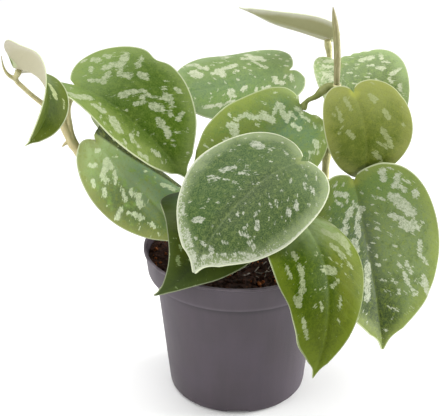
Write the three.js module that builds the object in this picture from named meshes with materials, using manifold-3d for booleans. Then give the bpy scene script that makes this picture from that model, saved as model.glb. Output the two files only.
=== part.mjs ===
// Satin pothos rooted in its 12 cm nursery pot.
// Millimetres, +Z up, origin at the middle of the pot's underside. The grower's front is -Y.
import * as THREE from 'three';
import * as BufferGeometryUtils from 'three/addons/utils/BufferGeometryUtils.js';
import Module from 'manifold-3d';

// ---- driving dimensions -------------------------------------------------------------------
const POT_HEIGHT = 100;
const POT_RIM_RADIUS = 60;
const POT_SIDES = 64;
const COLLAR_FOOT = 83; // height where the collar steps in to the body
const FOOT_LIFT = 1.6; // the base is raised this much between its feet
const NOTCH_WIDTH = 14; // gap between two feet
const DRAIN_RADIUS = 3;
const SOIL_LEVEL = 92;
const SOIL_GAP = 0.3;
const STEM_FOOT = 72; // depth to which a stem stands in the soil
const STEM_LEFT_RADIUS = 2.9;
const STEM_RIGHT_RADIUS = 2.5;
const BLADE_THICKNESS = 0.8;
const JOINT_GAP = 0.35; // between a petiole's end and the blade it carries
const BLADE_ROWS = 12; // cross rows from the sinus to the tip
const BLADE_STRIPS = 4; // strips from the midrib to the margin
const SPINE_STEPS = 48; // short straight steps along a midrib

// ---- leaves -------------------------------------------------------------------------------
// base: where the midrib starts. heading: compass direction of the midrib there. rise: its slope.
// roll: tilt about the midrib. droop, sweep, twist: total bend down, sideways and around.
// fold: slope of the two halves at the midrib, curl: their further bend to the margin, [left, right].
// hook: extra droop of the last part. fullness: 0 heart, 1 and over egg shaped. skew: wider left half.
// notch: how far the sinus opens, as a share of the length.
const LEAVES = {
  leaf_front: {
    base: [36, -32, 171], heading: -140, rise: 1, roll: -15,
    length: 98, width: 76, fullness: 1.4, skew: -0.02, notch: 0.03, hook: 5,
    droop: 61, sweep: 15, twist: -2, fold: [-2, 5], curl: [-28, -5],
    color: 0x4a6e3c,
  },
  leaf_lower_right: {
    base: [70, -16, 151], heading: 1, rise: -75, roll: 77,
    length: 110, width: 75, fullness: 1.4, skew: 0.19, notch: 0.03, hook: 9,
    droop: -24, sweep: -17, twist: -28, fold: [21, 10], curl: [-13, -22],
    color: 0x5d7c45,
  },
  leaf_over_rim: {
    base: [36, -45, 139], heading: -60, rise: -8, roll: -22,
    length: 105, width: 64, fullness: 0.5, skew: -0.09, notch: 0.03, hook: -12,
    droop: 100, sweep: 1, twist: 7, fold: [5, 1], curl: [-10, -27],
    color: 0x52701f,
  },
  leaf_upper_left: {
    base: [-100, 11, 203], heading: -32, rise: -8, roll: 9,
    length: 93, width: 66, fullness: 1.0, skew: 0.26, notch: 0.03, hook: 2,
    droop: 51, sweep: -5, twist: 34, fold: [17, 15], curl: [2, 29],
    color: 0x5f8a3e,
  },
  leaf_lower_left: {
    base: [-86, -12, 175], heading: 16, rise: -56, roll: 51,
    length: 87, width: 67, fullness: 1.0, skew: 0.20, notch: 0.03, hook: 4,
    droop: -43, sweep: -9, twist: 41, fold: [4, 6], curl: [-94, -21],
    color: 0x6d8f4e,
  },
  leaf_centre: {
    base: [40, 15, 185], heading: -132, rise: -25, roll: -50,
    length: 85, width: 62, fullness: 1.9, skew: 0.05, notch: 0.12, hook: 5,
    droop: 34, sweep: -31, twist: -15, fold: [12, 8], curl: [5, 2],
    color: 0x6a8a3a,
  },
  leaf_upper_centre: {
    base: [32, 38, 203], heading: -161, rise: -9, roll: -21,
    length: 83, width: 60, fullness: 1.4, skew: -0.12, notch: 0.03, hook: 5,
    droop: -10, sweep: 0, twist: -7, fold: [2, 3], curl: [-29, -27],
    color: 0x7fa268,
  },
  leaf_upper_right: {
    base: [64, 41, 205], heading: -70, rise: -18, roll: 9,
    length: 72, width: 55, fullness: 0.4, skew: 0.29, notch: 0.03, hook: 5,
    droop: 87, sweep: 20, twist: 30, fold: [-2, 9], curl: [11, -15],
    color: 0x8fae6c,
  },
  leaf_right: {
    base: [69, -3, 203], heading: -66, rise: -33, roll: 3,
    length: 66, width: 55, fullness: 0.9, skew: 0.13, notch: 0.03, hook: 4,
    droop: 106, sweep: -4, twist: 12, fold: [4, 0], curl: [-11, -26],
    color: 0x6f8030,
  },
  leaf_folded: {
    base: [-4, -28, 133], heading: -102, rise: -13, roll: -35,
    length: 85, width: 67, fullness: -0.9, skew: -0.22, notch: 0.03, hook: 5,
    droop: 104, sweep: -14, twist: -10, fold: [7, -4], curl: [-10, -36],
    color: 0x3b5423,
  },
  leaf_far_left: {
    base: [-133, -13, 221], heading: -20, rise: 3, roll: -45,
    length: 63, width: 41, fullness: 0.4, skew: -0.00, notch: 0.03, hook: -11,
    droop: 140, sweep: 1, twist: 12, fold: [18, 15], curl: [17, 45],
    color: 0x6f8040,
  },
  leaf_top: {
    base: [58, 54, 219], heading: 195, rise: 20, roll: 39,
    length: 64, width: 26, fullness: 0.3, skew: 0.05, notch: 0.03, hook: -1,
    droop: -5, sweep: 0, twist: -6, fold: [14, 14], curl: [11, 7],
    color: 0xa9a77a,
  },
};

// ---- helpers ------------------------------------------------------------------------------
const wasm = await Module();
wasm.setup();

const rad = THREE.MathUtils.degToRad;
const v3 = (p) => new THREE.Vector3(...p);

function toSolid(geometry) {
  const g = geometry.clone();
  g.deleteAttribute('normal');
  g.deleteAttribute('uv');
  const merged = BufferGeometryUtils.mergeVertices(g, 1e-4);
  const mesh = new wasm.Mesh({
    numProp: 3,
    vertProperties: new Float32Array(merged.attributes.position.array),
    triVerts: new Uint32Array(merged.index.array),
  });
  return new wasm.Manifold(mesh);
}

function toGeometry(solid) {
  const mesh = solid.getMesh();
  const g = new THREE.BufferGeometry();
  g.setAttribute('position', new THREE.BufferAttribute(new Float32Array(mesh.vertProperties), 3));
  g.setIndex(new THREE.BufferAttribute(new Uint32Array(mesh.triVerts), 1));
  return g;
}

function indexed(points, faces) {
  const g = new THREE.BufferGeometry();
  g.setAttribute('position', new THREE.Float32BufferAttribute(points.flat(), 3));
  g.setIndex(faces.flat());
  return g;
}

// A lathe round +Z from [radius, height] pairs.
function latheZ(profile, sides) {
  const points = profile.map(([r, z]) => new THREE.Vector2(r, z));
  return new THREE.LatheGeometry(points, sides).rotateX(Math.PI / 2);
}

function tube(curve, radius, steps, sides = 10) {
  const shape = new THREE.Shape();
  for (let i = 0; i < sides; i++) {
    const a = (2 * Math.PI * i) / sides;
    const x = radius * Math.cos(a);
    const y = radius * Math.sin(a);
    if (i === 0) shape.moveTo(x, y);
    else shape.lineTo(x, y);
  }
  shape.closePath();
  return toSolid(new THREE.ExtrudeGeometry(shape, { steps, bevelEnabled: false, extrudePath: curve }));
}

function through(points) {
  return new THREE.CatmullRomCurve3(points.map(v3), false, 'centripetal');
}

// ---- leaf blade ---------------------------------------------------------------------------
// Half outlines as [along, across] in shares of the length, from the sinus round the lobe to the tip.
const HEART = [
  [0, 0], [-0.10, 0.03], [-0.17, 0.12], [-0.17, 0.24], [-0.08, 0.36], [0.08, 0.42],
  [0.28, 0.42], [0.50, 0.34], [0.70, 0.21], [0.86, 0.09], [0.95, 0.03], [1, 0],
];
const EGG = [
  [0, 0], [-0.06, 0.03], [-0.10, 0.11], [-0.10, 0.21], [-0.03, 0.32], [0.12, 0.40],
  [0.32, 0.43], [0.54, 0.40], [0.74, 0.29], [0.88, 0.14], [0.96, 0.04], [1, 0],
];
const HALF_SHARE = 0.42; // across value of the widest part of HEART

function marginPoint(t, fullness, notch) {
  const last = HEART.length - 1;
  const at = 1 + (last - 1) * t;
  const k = Math.min(Math.floor(at), last - 1);
  const f = at - k;
  const mix = (i, c) => {
    if (i === 1 && c === 1) return notch;
    return HEART[i][c] * (1 - fullness) + EGG[i][c] * fullness;
  };
  const spline = (c) => {
    const a = mix(Math.max(k - 1, 0), c);
    const b = mix(k, c);
    const d = mix(k + 1, c);
    const e = mix(Math.min(k + 2, last), c);
    return 0.5 * (2 * b + (d - a) * f + (2 * a - 5 * b + 4 * d - e) * f * f
      + (3 * b - a - 3 * d + e) * f * f * f);
  };
  return [spline(0), Math.max(spline(1), 0)];
}

// Frames along the midrib: place, forward, left and up, from 0.2 behind the sinus to the tip.
function spine(leaf) {
  const h = 1.2 / SPINE_STEPS;
  const zero = Math.round(0.2 / h);
  const y = rad(leaf.heading);
  const p = rad(leaf.rise);
  const r = rad(leaf.roll);
  const forward = new THREE.Vector3(Math.cos(p) * Math.cos(y), Math.cos(p) * Math.sin(y), Math.sin(p));
  const side = new THREE.Vector3(-Math.sin(y), Math.cos(y), 0);
  const up = new THREE.Vector3().crossVectors(forward, side);
  const left = side.clone().multiplyScalar(Math.cos(r)).addScaledVector(up, Math.sin(r));
  const frames = [];
  frames[zero] = { c: v3(leaf.base), t: forward, b: left, n: new THREE.Vector3().crossVectors(forward, left) };
  for (const d of [1, -1]) {
    const end = d === 1 ? SPINE_STEPS : 0;
    for (let i = zero; i !== end; i += d) {
      const { c, t, b, n } = frames[i];
      const q = -0.2 + h * i + (d * h) / 2;
      const bend = rad(leaf.droop + leaf.hook * Math.max(q - 0.6, 0) * 12.5) * h * d;
      const sway = rad(leaf.sweep) * h * d;
      const turn = rad(leaf.twist) * h * d;
      const t2 = t.clone().addScaledVector(n, -bend).addScaledVector(b, sway).normalize();
      const n2 = n.clone().addScaledVector(t, bend).addScaledVector(b, -turn);
      const b2 = new THREE.Vector3().crossVectors(n2, t2).normalize();
      const c2 = c.clone().addScaledVector(t.clone().add(t2), (h * leaf.length * d) / 2);
      frames[i + d] = { c: c2, t: t2, b: b2, n: new THREE.Vector3().crossVectors(t2, b2) };
    }
  }
  return frames;
}

function frameAt(frames, along) {
  const at = THREE.MathUtils.clamp(((along + 0.2) / 1.2) * SPINE_STEPS, 0, SPINE_STEPS - 1e-6);
  const i = Math.floor(at);
  const mixed = {};
  for (const key of ['c', 'b', 'n']) mixed[key] = frames[i][key].clone().lerp(frames[i + 1][key], at - i);
  return mixed;
}

// One point of the blade's middle surface and its normal. side: 1 left, -1 right.
function bladePoint(leaf, frames, row, strip, side) {
  const t = row / BLADE_ROWS;
  const s = strip / BLADE_STRIPS;
  const [mx, my] = marginPoint(t, leaf.fullness, leaf.notch);
  const along = Math.pow(t, 1.25) * (1 - s) + mx * s;
  const half = (leaf.width / 2) * (1 + leaf.skew * side);
  const across = (my * s * half) / HALF_SHARE;
  const k = side === 1 ? 0 : 1;
  const fold = rad(leaf.fold[k]);
  const bend = rad(leaf.curl[k]) / (leaf.width / 2);
  const angle = fold + bend * across;
  const out = (Math.sin(angle) - Math.sin(fold)) / bend;
  const lift = (Math.cos(fold) - Math.cos(angle)) / bend;
  const { c, b, n } = frameAt(frames, along);
  const point = c.clone().addScaledVector(b, side * out).addScaledVector(n, lift);
  const tilt = strip === 0 ? 0 : angle;
  const normal = n.clone().multiplyScalar(Math.cos(tilt)).addScaledVector(b, -side * Math.sin(tilt));
  return { point, normal: normal.normalize() };
}

function blade(leaf) {
  const frames = spine(leaf);
  const points = [];
  const faces = [];
  const grid = {};
  const id = (row, strip) => grid[`${row},${strip}`];
  // strip runs from -BLADE_STRIPS (right margin) over 0 (midrib) to +BLADE_STRIPS (left margin)
  for (let row = 0; row <= BLADE_ROWS; row++) {
    for (let strip = -BLADE_STRIPS; strip <= BLADE_STRIPS; strip++) {
      if (row === BLADE_ROWS && strip !== -BLADE_STRIPS) {
        grid[`${row},${strip}`] = id(row, -BLADE_STRIPS);
        continue;
      }
      const side = strip < 0 ? -1 : 1;
      const { point, normal } = bladePoint(leaf, frames, row, Math.abs(strip), side);
      grid[`${row},${strip}`] = points.length / 2;
      for (const lift of [BLADE_THICKNESS / 2, -BLADE_THICKNESS / 2]) {
        points.push(point.clone().addScaledVector(normal, lift).toArray());
      }
    }
  }
  const top = (i) => 2 * i;
  const under = (i) => 2 * i + 1;
  const skin = (a, b, c) => {
    if (a === b || b === c || a === c) return;
    faces.push([top(a), top(b), top(c)]);
    faces.push([under(a), under(c), under(b)]);
  };
  for (let row = 0; row < BLADE_ROWS; row++) {
    for (let strip = -BLADE_STRIPS; strip < BLADE_STRIPS; strip++) {
      const a = id(row, strip);
      const b = id(row + 1, strip);
      const c = id(row + 1, strip + 1);
      const d = id(row, strip + 1);
      skin(a, b, c);
      skin(a, c, d);
    }
  }
  const rim = [];
  for (let strip = 0; strip <= BLADE_STRIPS; strip++) rim.push(id(0, strip));
  for (let row = 1; row <= BLADE_ROWS; row++) rim.push(id(row, BLADE_STRIPS));
  for (let row = BLADE_ROWS - 1; row >= 0; row--) rim.push(id(row, -BLADE_STRIPS));
  for (let strip = -BLADE_STRIPS + 1; strip < 0; strip++) rim.push(id(0, strip));
  rim.forEach((a, i) => {
    const b = rim[(i + 1) % rim.length];
    faces.push([top(a), top(b), under(b)]);
    faces.push([top(a), under(b), under(a)]);
  });
  return indexed(points, faces);
}

// ---- rolled young leaf: a slender spindle with one overlapping edge -------------------------
const ROLLED_FOOT = [59.5, 8, 205.2];
const ROLLED_TIP = [55.4, 8, 253];
const ROLLED_RADIUS = 2.3;
const ROLLED_PROFILE = [[0, 0.62], [0.08, 0.8], [0.3, 1], [0.55, 0.98], [0.75, 0.78], [0.9, 0.42], [1, 0.1]];

function rolledLeaf() {
  const sides = 12;
  const axis = through([ROLLED_FOOT, [59.3, 8, 221], [58, 8, 237], ROLLED_TIP]);
  const points = [];
  const faces = [];
  for (const [along, share] of ROLLED_PROFILE) {
    const centre = axis.getPoint(along);
    const t = axis.getTangent(along);
    const u = new THREE.Vector3(0, 1, 0).cross(t).normalize();
    const w = t.clone().cross(u);
    for (let i = 0; i < sides; i++) {
      const turn = i / (sides - 1);
      const angle = (2 * Math.PI * i) / sides;
      const r = ROLLED_RADIUS * share * (1 - 0.22 * turn);
      points.push(centre.clone().addScaledVector(u, r * Math.cos(angle)).addScaledVector(w, r * Math.sin(angle))
        .toArray());
    }
  }
  const rings = ROLLED_PROFILE.length;
  for (let k = 0; k < rings - 1; k++) {
    for (let i = 0; i < sides; i++) {
      const a = k * sides + i;
      const b = k * sides + ((i + 1) % sides);
      faces.push([a, b, b + sides]);
      faces.push([a, b + sides, a + sides]);
    }
  }
  const last = (rings - 1) * sides;
  for (let i = 1; i < sides - 1; i++) {
    faces.push([0, i + 1, i]);
    faces.push([last, last + i, last + i + 1]);
  }
  return indexed(points, faces);
}

// ---- stems and petioles ---------------------------------------------------------------------
// The petiole ends just under the midrib's start. Without points in via it arches up to it.
function petiole(leaf, from, leave, radius, via = []) {
  const frames = spine(leaf);
  const f = frames[Math.round(0.2 / (1.2 / SPINE_STEPS))];
  const arrive = f.t.clone().multiplyScalar(0.75).addScaledVector(f.n, 0.66).normalize();
  const drop = BLADE_THICKNESS / 2 + JOINT_GAP + radius * 0.75;
  const end = f.c.clone().addScaledVector(f.t, 1.2).addScaledVector(f.n, -drop);
  if (leaf.notch > 0.1) end.copy(f.c).addScaledVector(f.t, -radius * 1.25); // meets the open sinus edge on
  if (via.length > 0) return tube(through([from, ...via, end.toArray()]), radius, 12, 8);
  const start = v3(from);
  const span = start.distanceTo(end);
  const c1 = start.clone().addScaledVector(v3(leave).normalize(), span * 0.4);
  const c2 = end.clone().addScaledVector(arrive, -span * 0.35);
  return tube(new THREE.CubicBezierCurve3(start, c1, c2, end), radius, 9, 8);
}

// The free tip of a petiole's wing, a short pointed tongue.
function tongue(from, to, radius) {
  const line = v3(to).sub(v3(from));
  const cone = new THREE.ConeGeometry(radius, line.length(), 6);
  cone.translate(0, line.length() / 2, 0);
  cone.applyQuaternion(new THREE.Quaternion().setFromUnitVectors(new THREE.Vector3(0, 1, 0), line.normalize()));
  return toSolid(cone.translate(...from));
}

const STEM_LEFT = [
  [-24, 4, STEM_FOOT + SOIL_GAP], [-24, 4, 84], [-24, 4, 91], [-24, 4, 98], [-42, 4, 112], [-70, 3.5, 134],
  [-93, 3, 156], [-100, 2, 165], [-104, 2, 173], [-107, 2, 181], [-109, 2, 189],
];
const STEM_RIGHT = [
  [24, 8, STEM_FOOT + SOIL_GAP], [24, 8, 84], [24, 8, 91], [24, 8, 98], [33, 9, 109], [46, 11, 120],
  [54.5, 14, 137], [55.5, 14, 154], [57.8, 12.5, 178], [59.2, 9.5, 192], [59.5, 8, 204.6],
];

function stemLeft() {
  const pieces = [
    petiole(LEAVES.leaf_upper_left, [-108, 2, 185], [-0.2, 0.2, 1], 2),
    petiole(LEAVES.leaf_lower_left, [-98, 2.2, 162], [0.3, -1, 0.5], 2),
    petiole(LEAVES.leaf_far_left, [-108.5, 2, 186], [], 1.8, [[-118, -3, 196], [-124.5, -8, 205], [-130, -13, 212]]),
    tongue([-131, -14, 213], [-139.5, -20, 232], 1.5),
  ];
  return pieces.reduce((whole, piece) => whole.add(piece), tube(through(STEM_LEFT), STEM_LEFT_RADIUS, 22, 12));
}

function stemRight() {
  const pieces = [
    petiole(LEAVES.leaf_folded, [26.5, 8, 102], [-0.3, -0.2, 1], 1.8),
    petiole(LEAVES.leaf_over_rim, [42, 10, 117], [-0.1, -1, 0.4], 1.9),
    petiole(LEAVES.leaf_lower_right, [55, 14, 136], [], 2, [[62, 3, 141], [67, -8, 145.5]]),
    petiole(LEAVES.leaf_front, [54.5, 14, 137], [], 2, [[52, -4, 141], [43, -21, 153]]),
    petiole(LEAVES.leaf_right, [57, 13, 172], [0.6, -0.6, 0.6], 1.9),
    petiole(LEAVES.leaf_upper_centre, [57.5, 13, 178], [-0.3, 1, 0.5], 1.9),
    petiole(LEAVES.leaf_upper_right, [56.5, 13, 160], [], 1.9, [[58, 32, 166], [63, 50, 186]]),
    petiole(LEAVES.leaf_top, [57.5, 13, 170], [], 1.4, [[56, 30, 175], [55, 48, 190], [56, 55, 205]]),
    petiole(LEAVES.leaf_centre, [59, 10, 194], [], 1.9, [[52, 12, 199.5], [46.5, 17, 194]]),
    tongue([44, 19, 190.5], [37, 20, 189], 1.5),
  ];
  return pieces.reduce((whole, piece) => whole.add(piece), tube(through(STEM_RIGHT), STEM_RIGHT_RADIUS, 20, 12));
}

// ---- pot and soil ---------------------------------------------------------------------------
const POT_PROFILE = [
  [0, 0], [20, 0], [20.8, FOOT_LIFT], [33, FOOT_LIFT], [34, 0], [40.6, 0], [42.6, 0.8], [43.8, 2.4],
  [44.4, 5], [52.6, COLLAR_FOOT - 0.6], [57, COLLAR_FOOT], [57.6, COLLAR_FOOT + 1.4], [59.1, 97.4],
  [POT_RIM_RADIUS, 98.1], [POT_RIM_RADIUS, 99.4], [59.4, POT_HEIGHT], [58.7, POT_HEIGHT], [58.2, 99.4],
  [56.2, COLLAR_FOOT + 1], [51, COLLAR_FOOT - 1.2], [42.6, 4.6], [41.2, 3.2], [0, 3.2],
];

function pot() {
  let solid = toSolid(latheZ(POT_PROFILE, POT_SIDES));
  for (let i = 0; i < 4; i++) {
    const notch = new THREE.BoxGeometry(NOTCH_WIDTH, 16, FOOT_LIFT + 1);
    notch.translate(0, -41, (FOOT_LIFT - 1) / 2).rotateZ((i * Math.PI) / 2);
    solid = solid.subtract(toSolid(notch));
  }
  for (let i = 0; i < 6; i++) {
    const hole = new THREE.CylinderGeometry(DRAIN_RADIUS, DRAIN_RADIUS, 8, 16).rotateX(Math.PI / 2);
    hole.translate(27, 0, 3).rotateZ(((i + 0.5) * Math.PI) / 3);
    solid = solid.subtract(toSolid(hole));
  }
  return toGeometry(solid);
}

const SOIL_PROFILE = [
  [0, 3.5], [41, 3.5], [42.2, 4.8], [50.7, COLLAR_FOOT - 1], [55.8, COLLAR_FOOT + 1.2],
  [56.8, SOIL_LEVEL - 0.6], [55.4, SOIL_LEVEL], [46, SOIL_LEVEL], [36, SOIL_LEVEL], [26, SOIL_LEVEL],
  [16, SOIL_LEVEL], [7, SOIL_LEVEL], [0, SOIL_LEVEL],
];

function soil() {
  const ground = latheZ(SOIL_PROFILE, 40);
  const place = ground.attributes.position;
  for (let i = 0; i < place.count; i++) {
    const x = place.getX(i);
    const y = place.getY(i);
    if (place.getZ(i) < SOIL_LEVEL - 0.1) continue;
    const bumps = 0.9 * Math.sin(x / 6.1 + 0.7) * Math.cos(y / 5.3) + 0.7 * Math.sin((x + y) / 9.7);
    place.setZ(i, SOIL_LEVEL + bumps);
  }
  let solid = toSolid(ground);
  for (const [[x, y], radius] of [[STEM_LEFT[0], STEM_LEFT_RADIUS], [STEM_RIGHT[0], STEM_RIGHT_RADIUS]]) {
    const hole = new THREE.CylinderGeometry(radius + 0.6, radius + 0.6, 30, 20).rotateX(Math.PI / 2);
    hole.translate(x, y, STEM_FOOT + 15);
    solid = solid.subtract(toSolid(hole));
  }
  return toGeometry(solid);
}

// ---- assembly -------------------------------------------------------------------------------
const plant = new THREE.Group();

function add(name, geometry, color, roughness) {
  const mesh = new THREE.Mesh(geometry, new THREE.MeshStandardMaterial({ color, roughness, metalness: 0 }));
  mesh.name = name;
  plant.add(mesh);
}

add('pot', pot(), 0x6f6670, 0.55);
add('soil', soil(), 0x2b1d16, 0.95);
add('stem_left', toGeometry(stemLeft()), 0xb9a866, 0.6);
add('stem_right', toGeometry(stemRight()), 0x97a05c, 0.6);
for (const [name, leaf] of Object.entries(LEAVES)) add(name, blade(leaf), leaf.color, 0.5);
add('leaf_rolled', rolledLeaf(), 0x9a9460, 0.6);

export default plant;
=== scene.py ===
# %% [markdown]
# # Satin pothos in its nursery pot
# The real plant is two rooted cuttings in a 12 cm plastic pot: two leafy stems, thirteen heart-shaped leaves
# on short petioles, dark peat and a thin moulded pot. The solids give every piece its place. This lesson
# makes the finer pieces that are seen: leaves with veins and silver marks, petioles that grow out of their
# stems, crumbly soil and a pot with rounded edges.

# %% Load the frame
import math
import random

import bpy
import numpy as np
from mathutils import Euler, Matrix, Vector, noise


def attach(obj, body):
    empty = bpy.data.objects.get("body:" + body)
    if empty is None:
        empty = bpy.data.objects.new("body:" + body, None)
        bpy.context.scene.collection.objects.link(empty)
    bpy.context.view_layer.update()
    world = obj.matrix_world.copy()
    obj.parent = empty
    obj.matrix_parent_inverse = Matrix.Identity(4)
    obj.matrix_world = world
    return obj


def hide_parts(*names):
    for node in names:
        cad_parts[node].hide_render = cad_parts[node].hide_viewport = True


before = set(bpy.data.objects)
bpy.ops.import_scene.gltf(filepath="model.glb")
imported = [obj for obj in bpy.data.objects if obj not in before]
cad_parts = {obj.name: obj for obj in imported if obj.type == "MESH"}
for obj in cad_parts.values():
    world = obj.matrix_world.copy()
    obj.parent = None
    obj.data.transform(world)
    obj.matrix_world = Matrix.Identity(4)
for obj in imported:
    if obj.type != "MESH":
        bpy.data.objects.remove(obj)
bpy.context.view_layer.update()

# %% [markdown]
# Lengths are written in millimetres, as on a drawing, and Blender works in metres. A few small helpers keep
# the cells short: an operator acts on all that is selected, so each one starts from a clear selection.

# %% Helpers for objects
MM = 0.001


def clear_selection():
    if bpy.context.object and bpy.context.object.mode != "OBJECT":
        bpy.ops.object.mode_set(mode="OBJECT")
    bpy.ops.object.select_all(action="DESELECT")


def work_on(*pieces):
    """Selects these pieces alone, the last one active."""
    clear_selection()
    for piece in pieces:
        piece.select_set(True)
    bpy.context.view_layer.objects.active = pieces[-1]
    return pieces[-1]


def new_primitive(kind, name, **settings):
    """Adds a primitive with nothing else selected, and names it."""
    clear_selection()
    getattr(bpy.ops.mesh, f"primitive_{kind}_add")(**settings)
    piece = bpy.context.object
    piece.name = piece.data.name = name
    return piece


def apply_place(piece):
    work_on(piece)
    bpy.ops.object.transform_apply(location=True, rotation=True, scale=True)


def apply_modifier(piece, kind, **settings):
    modifier = piece.modifiers.new(kind.title(), kind)
    for key, value in settings.items():
        setattr(modifier, key, value)
    work_on(piece)
    bpy.ops.object.modifier_apply(modifier=modifier.name)


def join(pieces, name):
    whole = work_on(*pieces)
    bpy.ops.object.join()
    whole.name = whole.data.name = name
    return whole


def smooth(piece, corner):
    """Smooth shading, but not across edges sharper than that many degrees."""
    work_on(piece)
    bpy.ops.object.shade_smooth_by_angle(angle=math.radians(corner))


def close_shell():
    """Fills the open ring that is selected, turns every face outwards and leaves edit mode."""
    bpy.ops.mesh.edge_face_add()
    bpy.ops.mesh.select_all(action="SELECT")
    bpy.ops.mesh.normals_make_consistent(inside=False)
    bpy.ops.object.mode_set(mode="OBJECT")


def get_points(piece):
    flat = np.zeros(len(piece.data.vertices) * 3)
    piece.data.vertices.foreach_get("co", flat)
    return flat.reshape(-1, 3) / MM


def set_points(piece, points):
    piece.data.vertices.foreach_set("co", (np.asarray(points) * MM).ravel())
    piece.data.update()


def set_value(piece, name, values):
    """Stores one number a vertex, for a material to read."""
    layer = piece.data.attributes.new(name, "FLOAT", "POINT")
    layer.data.foreach_set("value", np.asarray(values, dtype=np.float32).ravel())


def dress(piece, finish):
    """The whole piece gets one finish."""
    piece.data.materials.clear()
    piece.data.materials.append(finish)


def settle(piece, slot, *nodes):
    """The finished piece rides on the plant, and stands for its solids."""
    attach(piece, "root")
    if nodes:
        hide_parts(*nodes)
    print(piece.name, len(piece.data.polygons), "faces, stands for", nodes)


# %% [markdown]
# A finish is a material whose colour, roughness and bump come from nodes. Most methods below add a node and
# hand back its output, so that a finish reads as a short list of steps. The colour is built up in coats, each
# laid over the last one.

# %% Helpers for finishes
def rgb(code):
    """A colour code as Blender's linear red, green, blue and alpha."""
    parts = [int(code[i:i + 2], 16) / 255 for i in (1, 3, 5)]
    return [p / 12.92 if p <= 0.04045 else ((p + 0.055) / 1.055) ** 2.4 for p in parts] + [1.0]


class Finish:
    """A material in the making."""

    def __init__(self, name, **shader):
        self.material = bpy.data.materials.new(name)
        self.material.use_nodes = True
        self.tree = self.material.node_tree
        self.shader = self.tree.nodes["Principled BSDF"]
        self.colour = None
        self.set_shader(**shader)

    def put(self, socket, value):
        """Links another node's output to a socket, or sets the socket to a number or a colour code."""
        if isinstance(value, bpy.types.NodeSocket):
            self.tree.links.new(value, socket)
        else:
            socket.default_value = rgb(value) if isinstance(value, str) else value

    def set_shader(self, **sockets):
        for key, value in sockets.items():
            self.put(self.shader.inputs[key.replace("_", " ")], value)

    def node(self, kind, inputs, output=0, **settings):
        made = self.tree.nodes.new("ShaderNode" + kind)
        for key, value in settings.items():
            setattr(made, key, value)
        for key, value in inputs.items():
            self.put(made.inputs[key], value)
        return made.outputs[output]

    def place(self):
        """Where the point is on the object, in millimetres."""
        return self.node("VectorMath", {0: self.node("TexCoord", {}, "Object"), 1: (1000, 1000, 1000)},
                         operation="MULTIPLY")

    def value(self, name):
        return self.node("Attribute", {}, "Fac", attribute_name=name)

    def math(self, operation, a, b=0.0):
        return self.node("Math", {0: a, 1: b}, operation=operation)

    def plus(self, a, b):
        return self.math("ADD", a, b)

    def minus(self, a, b):
        return self.math("SUBTRACT", a, b)

    def times(self, a, b):
        return self.math("MULTIPLY", a, b)

    def larger(self, a, b):
        return self.math("MAXIMUM", a, b)

    def swing(self, cloud, reach):
        """Noise about its middle value, as a number that swings to both sides of nought."""
        return self.times(self.minus(cloud, 0.5), reach)

    def band(self, value, low, high, start=0.0, end=1.0):
        """Goes smoothly from start to end as value goes from low to high."""
        return self.node("MapRange", {"Value": value, "From Min": low, "From Max": high, "To Min": start,
                                      "To Max": end}, interpolation_type="SMOOTHSTEP")

    def noise(self, vector, size, detail=3.0, roughness=0.5):
        """Cloudy noise with blobs of about that size in millimetres."""
        return self.node("TexNoise", {"Vector": vector, "Scale": 1 / size, "Detail": detail,
                                      "Roughness": roughness})

    def streaks(self, size, squeeze):
        """Noise that is drawn out upwards."""
        drawn = self.node("Mapping", {"Vector": self.place(), "Scale": (1, 1, squeeze)})
        return self.noise(drawn, size)

    def mix(self, share, a, b):
        made = self.tree.nodes.new("ShaderNodeMix")
        made.data_type = "RGBA"
        for index, value in ((0, share), (6, a), (7, b)):
            self.put(made.inputs[index], value)
        return made.outputs[2]

    def coat(self, share, colour):
        """Lays a colour over the coats so far, as densely as share says."""
        self.colour = self.mix(share, self.colour, colour)

    def bump(self, height, distance, strength, after=None):
        inputs = {"Height": height, "Distance": distance * MM, "Strength": strength}
        if after is not None:
            inputs["Normal"] = after
        return self.node("Bump", inputs)

    def finish(self, **sockets):
        self.set_shader(Base_Color=self.colour, **sockets)
        return self.material


# %% [markdown]
# ## The pot
# The real pot is injection moulded from mauve-grey polypropylene: a tapered wall, a step out to a taller
# collar, a thin rolled lip and a ring of feet. Turned shapes can be spun from a profile. Here each ring is
# extruded from the last one and scaled, from the middle of the underside up the outside, over the lip and
# down inside, because that keeps one closed shell whose corners can then be rounded with a bevel.

# %% Pot: extrude the shell
POT_HEIGHT = 100
POT_RIM_RADIUS = 60
COLLAR_FOOT = 83
FOOT_LIFT = 1.6
POT_SIDES = 128
# radius and height of each ring
POT_PROFILE = [
    (20, 0), (20.8, FOOT_LIFT), (33, FOOT_LIFT), (34, 0), (40.6, 0), (42.6, 0.8), (43.8, 2.4),
    (44.4, 5), (52.6, COLLAR_FOOT - 0.6), (57, COLLAR_FOOT), (57.6, COLLAR_FOOT + 1.4), (59.1, 97.4),
    (POT_RIM_RADIUS, 98.1), (POT_RIM_RADIUS, 99.4), (59.4, POT_HEIGHT), (58.7, POT_HEIGHT), (58.2, 99.4),
    (56.2, COLLAR_FOOT + 1), (51, COLLAR_FOOT - 1.2), (42.6, 4.6), (41.2, 3.2),
]


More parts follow.
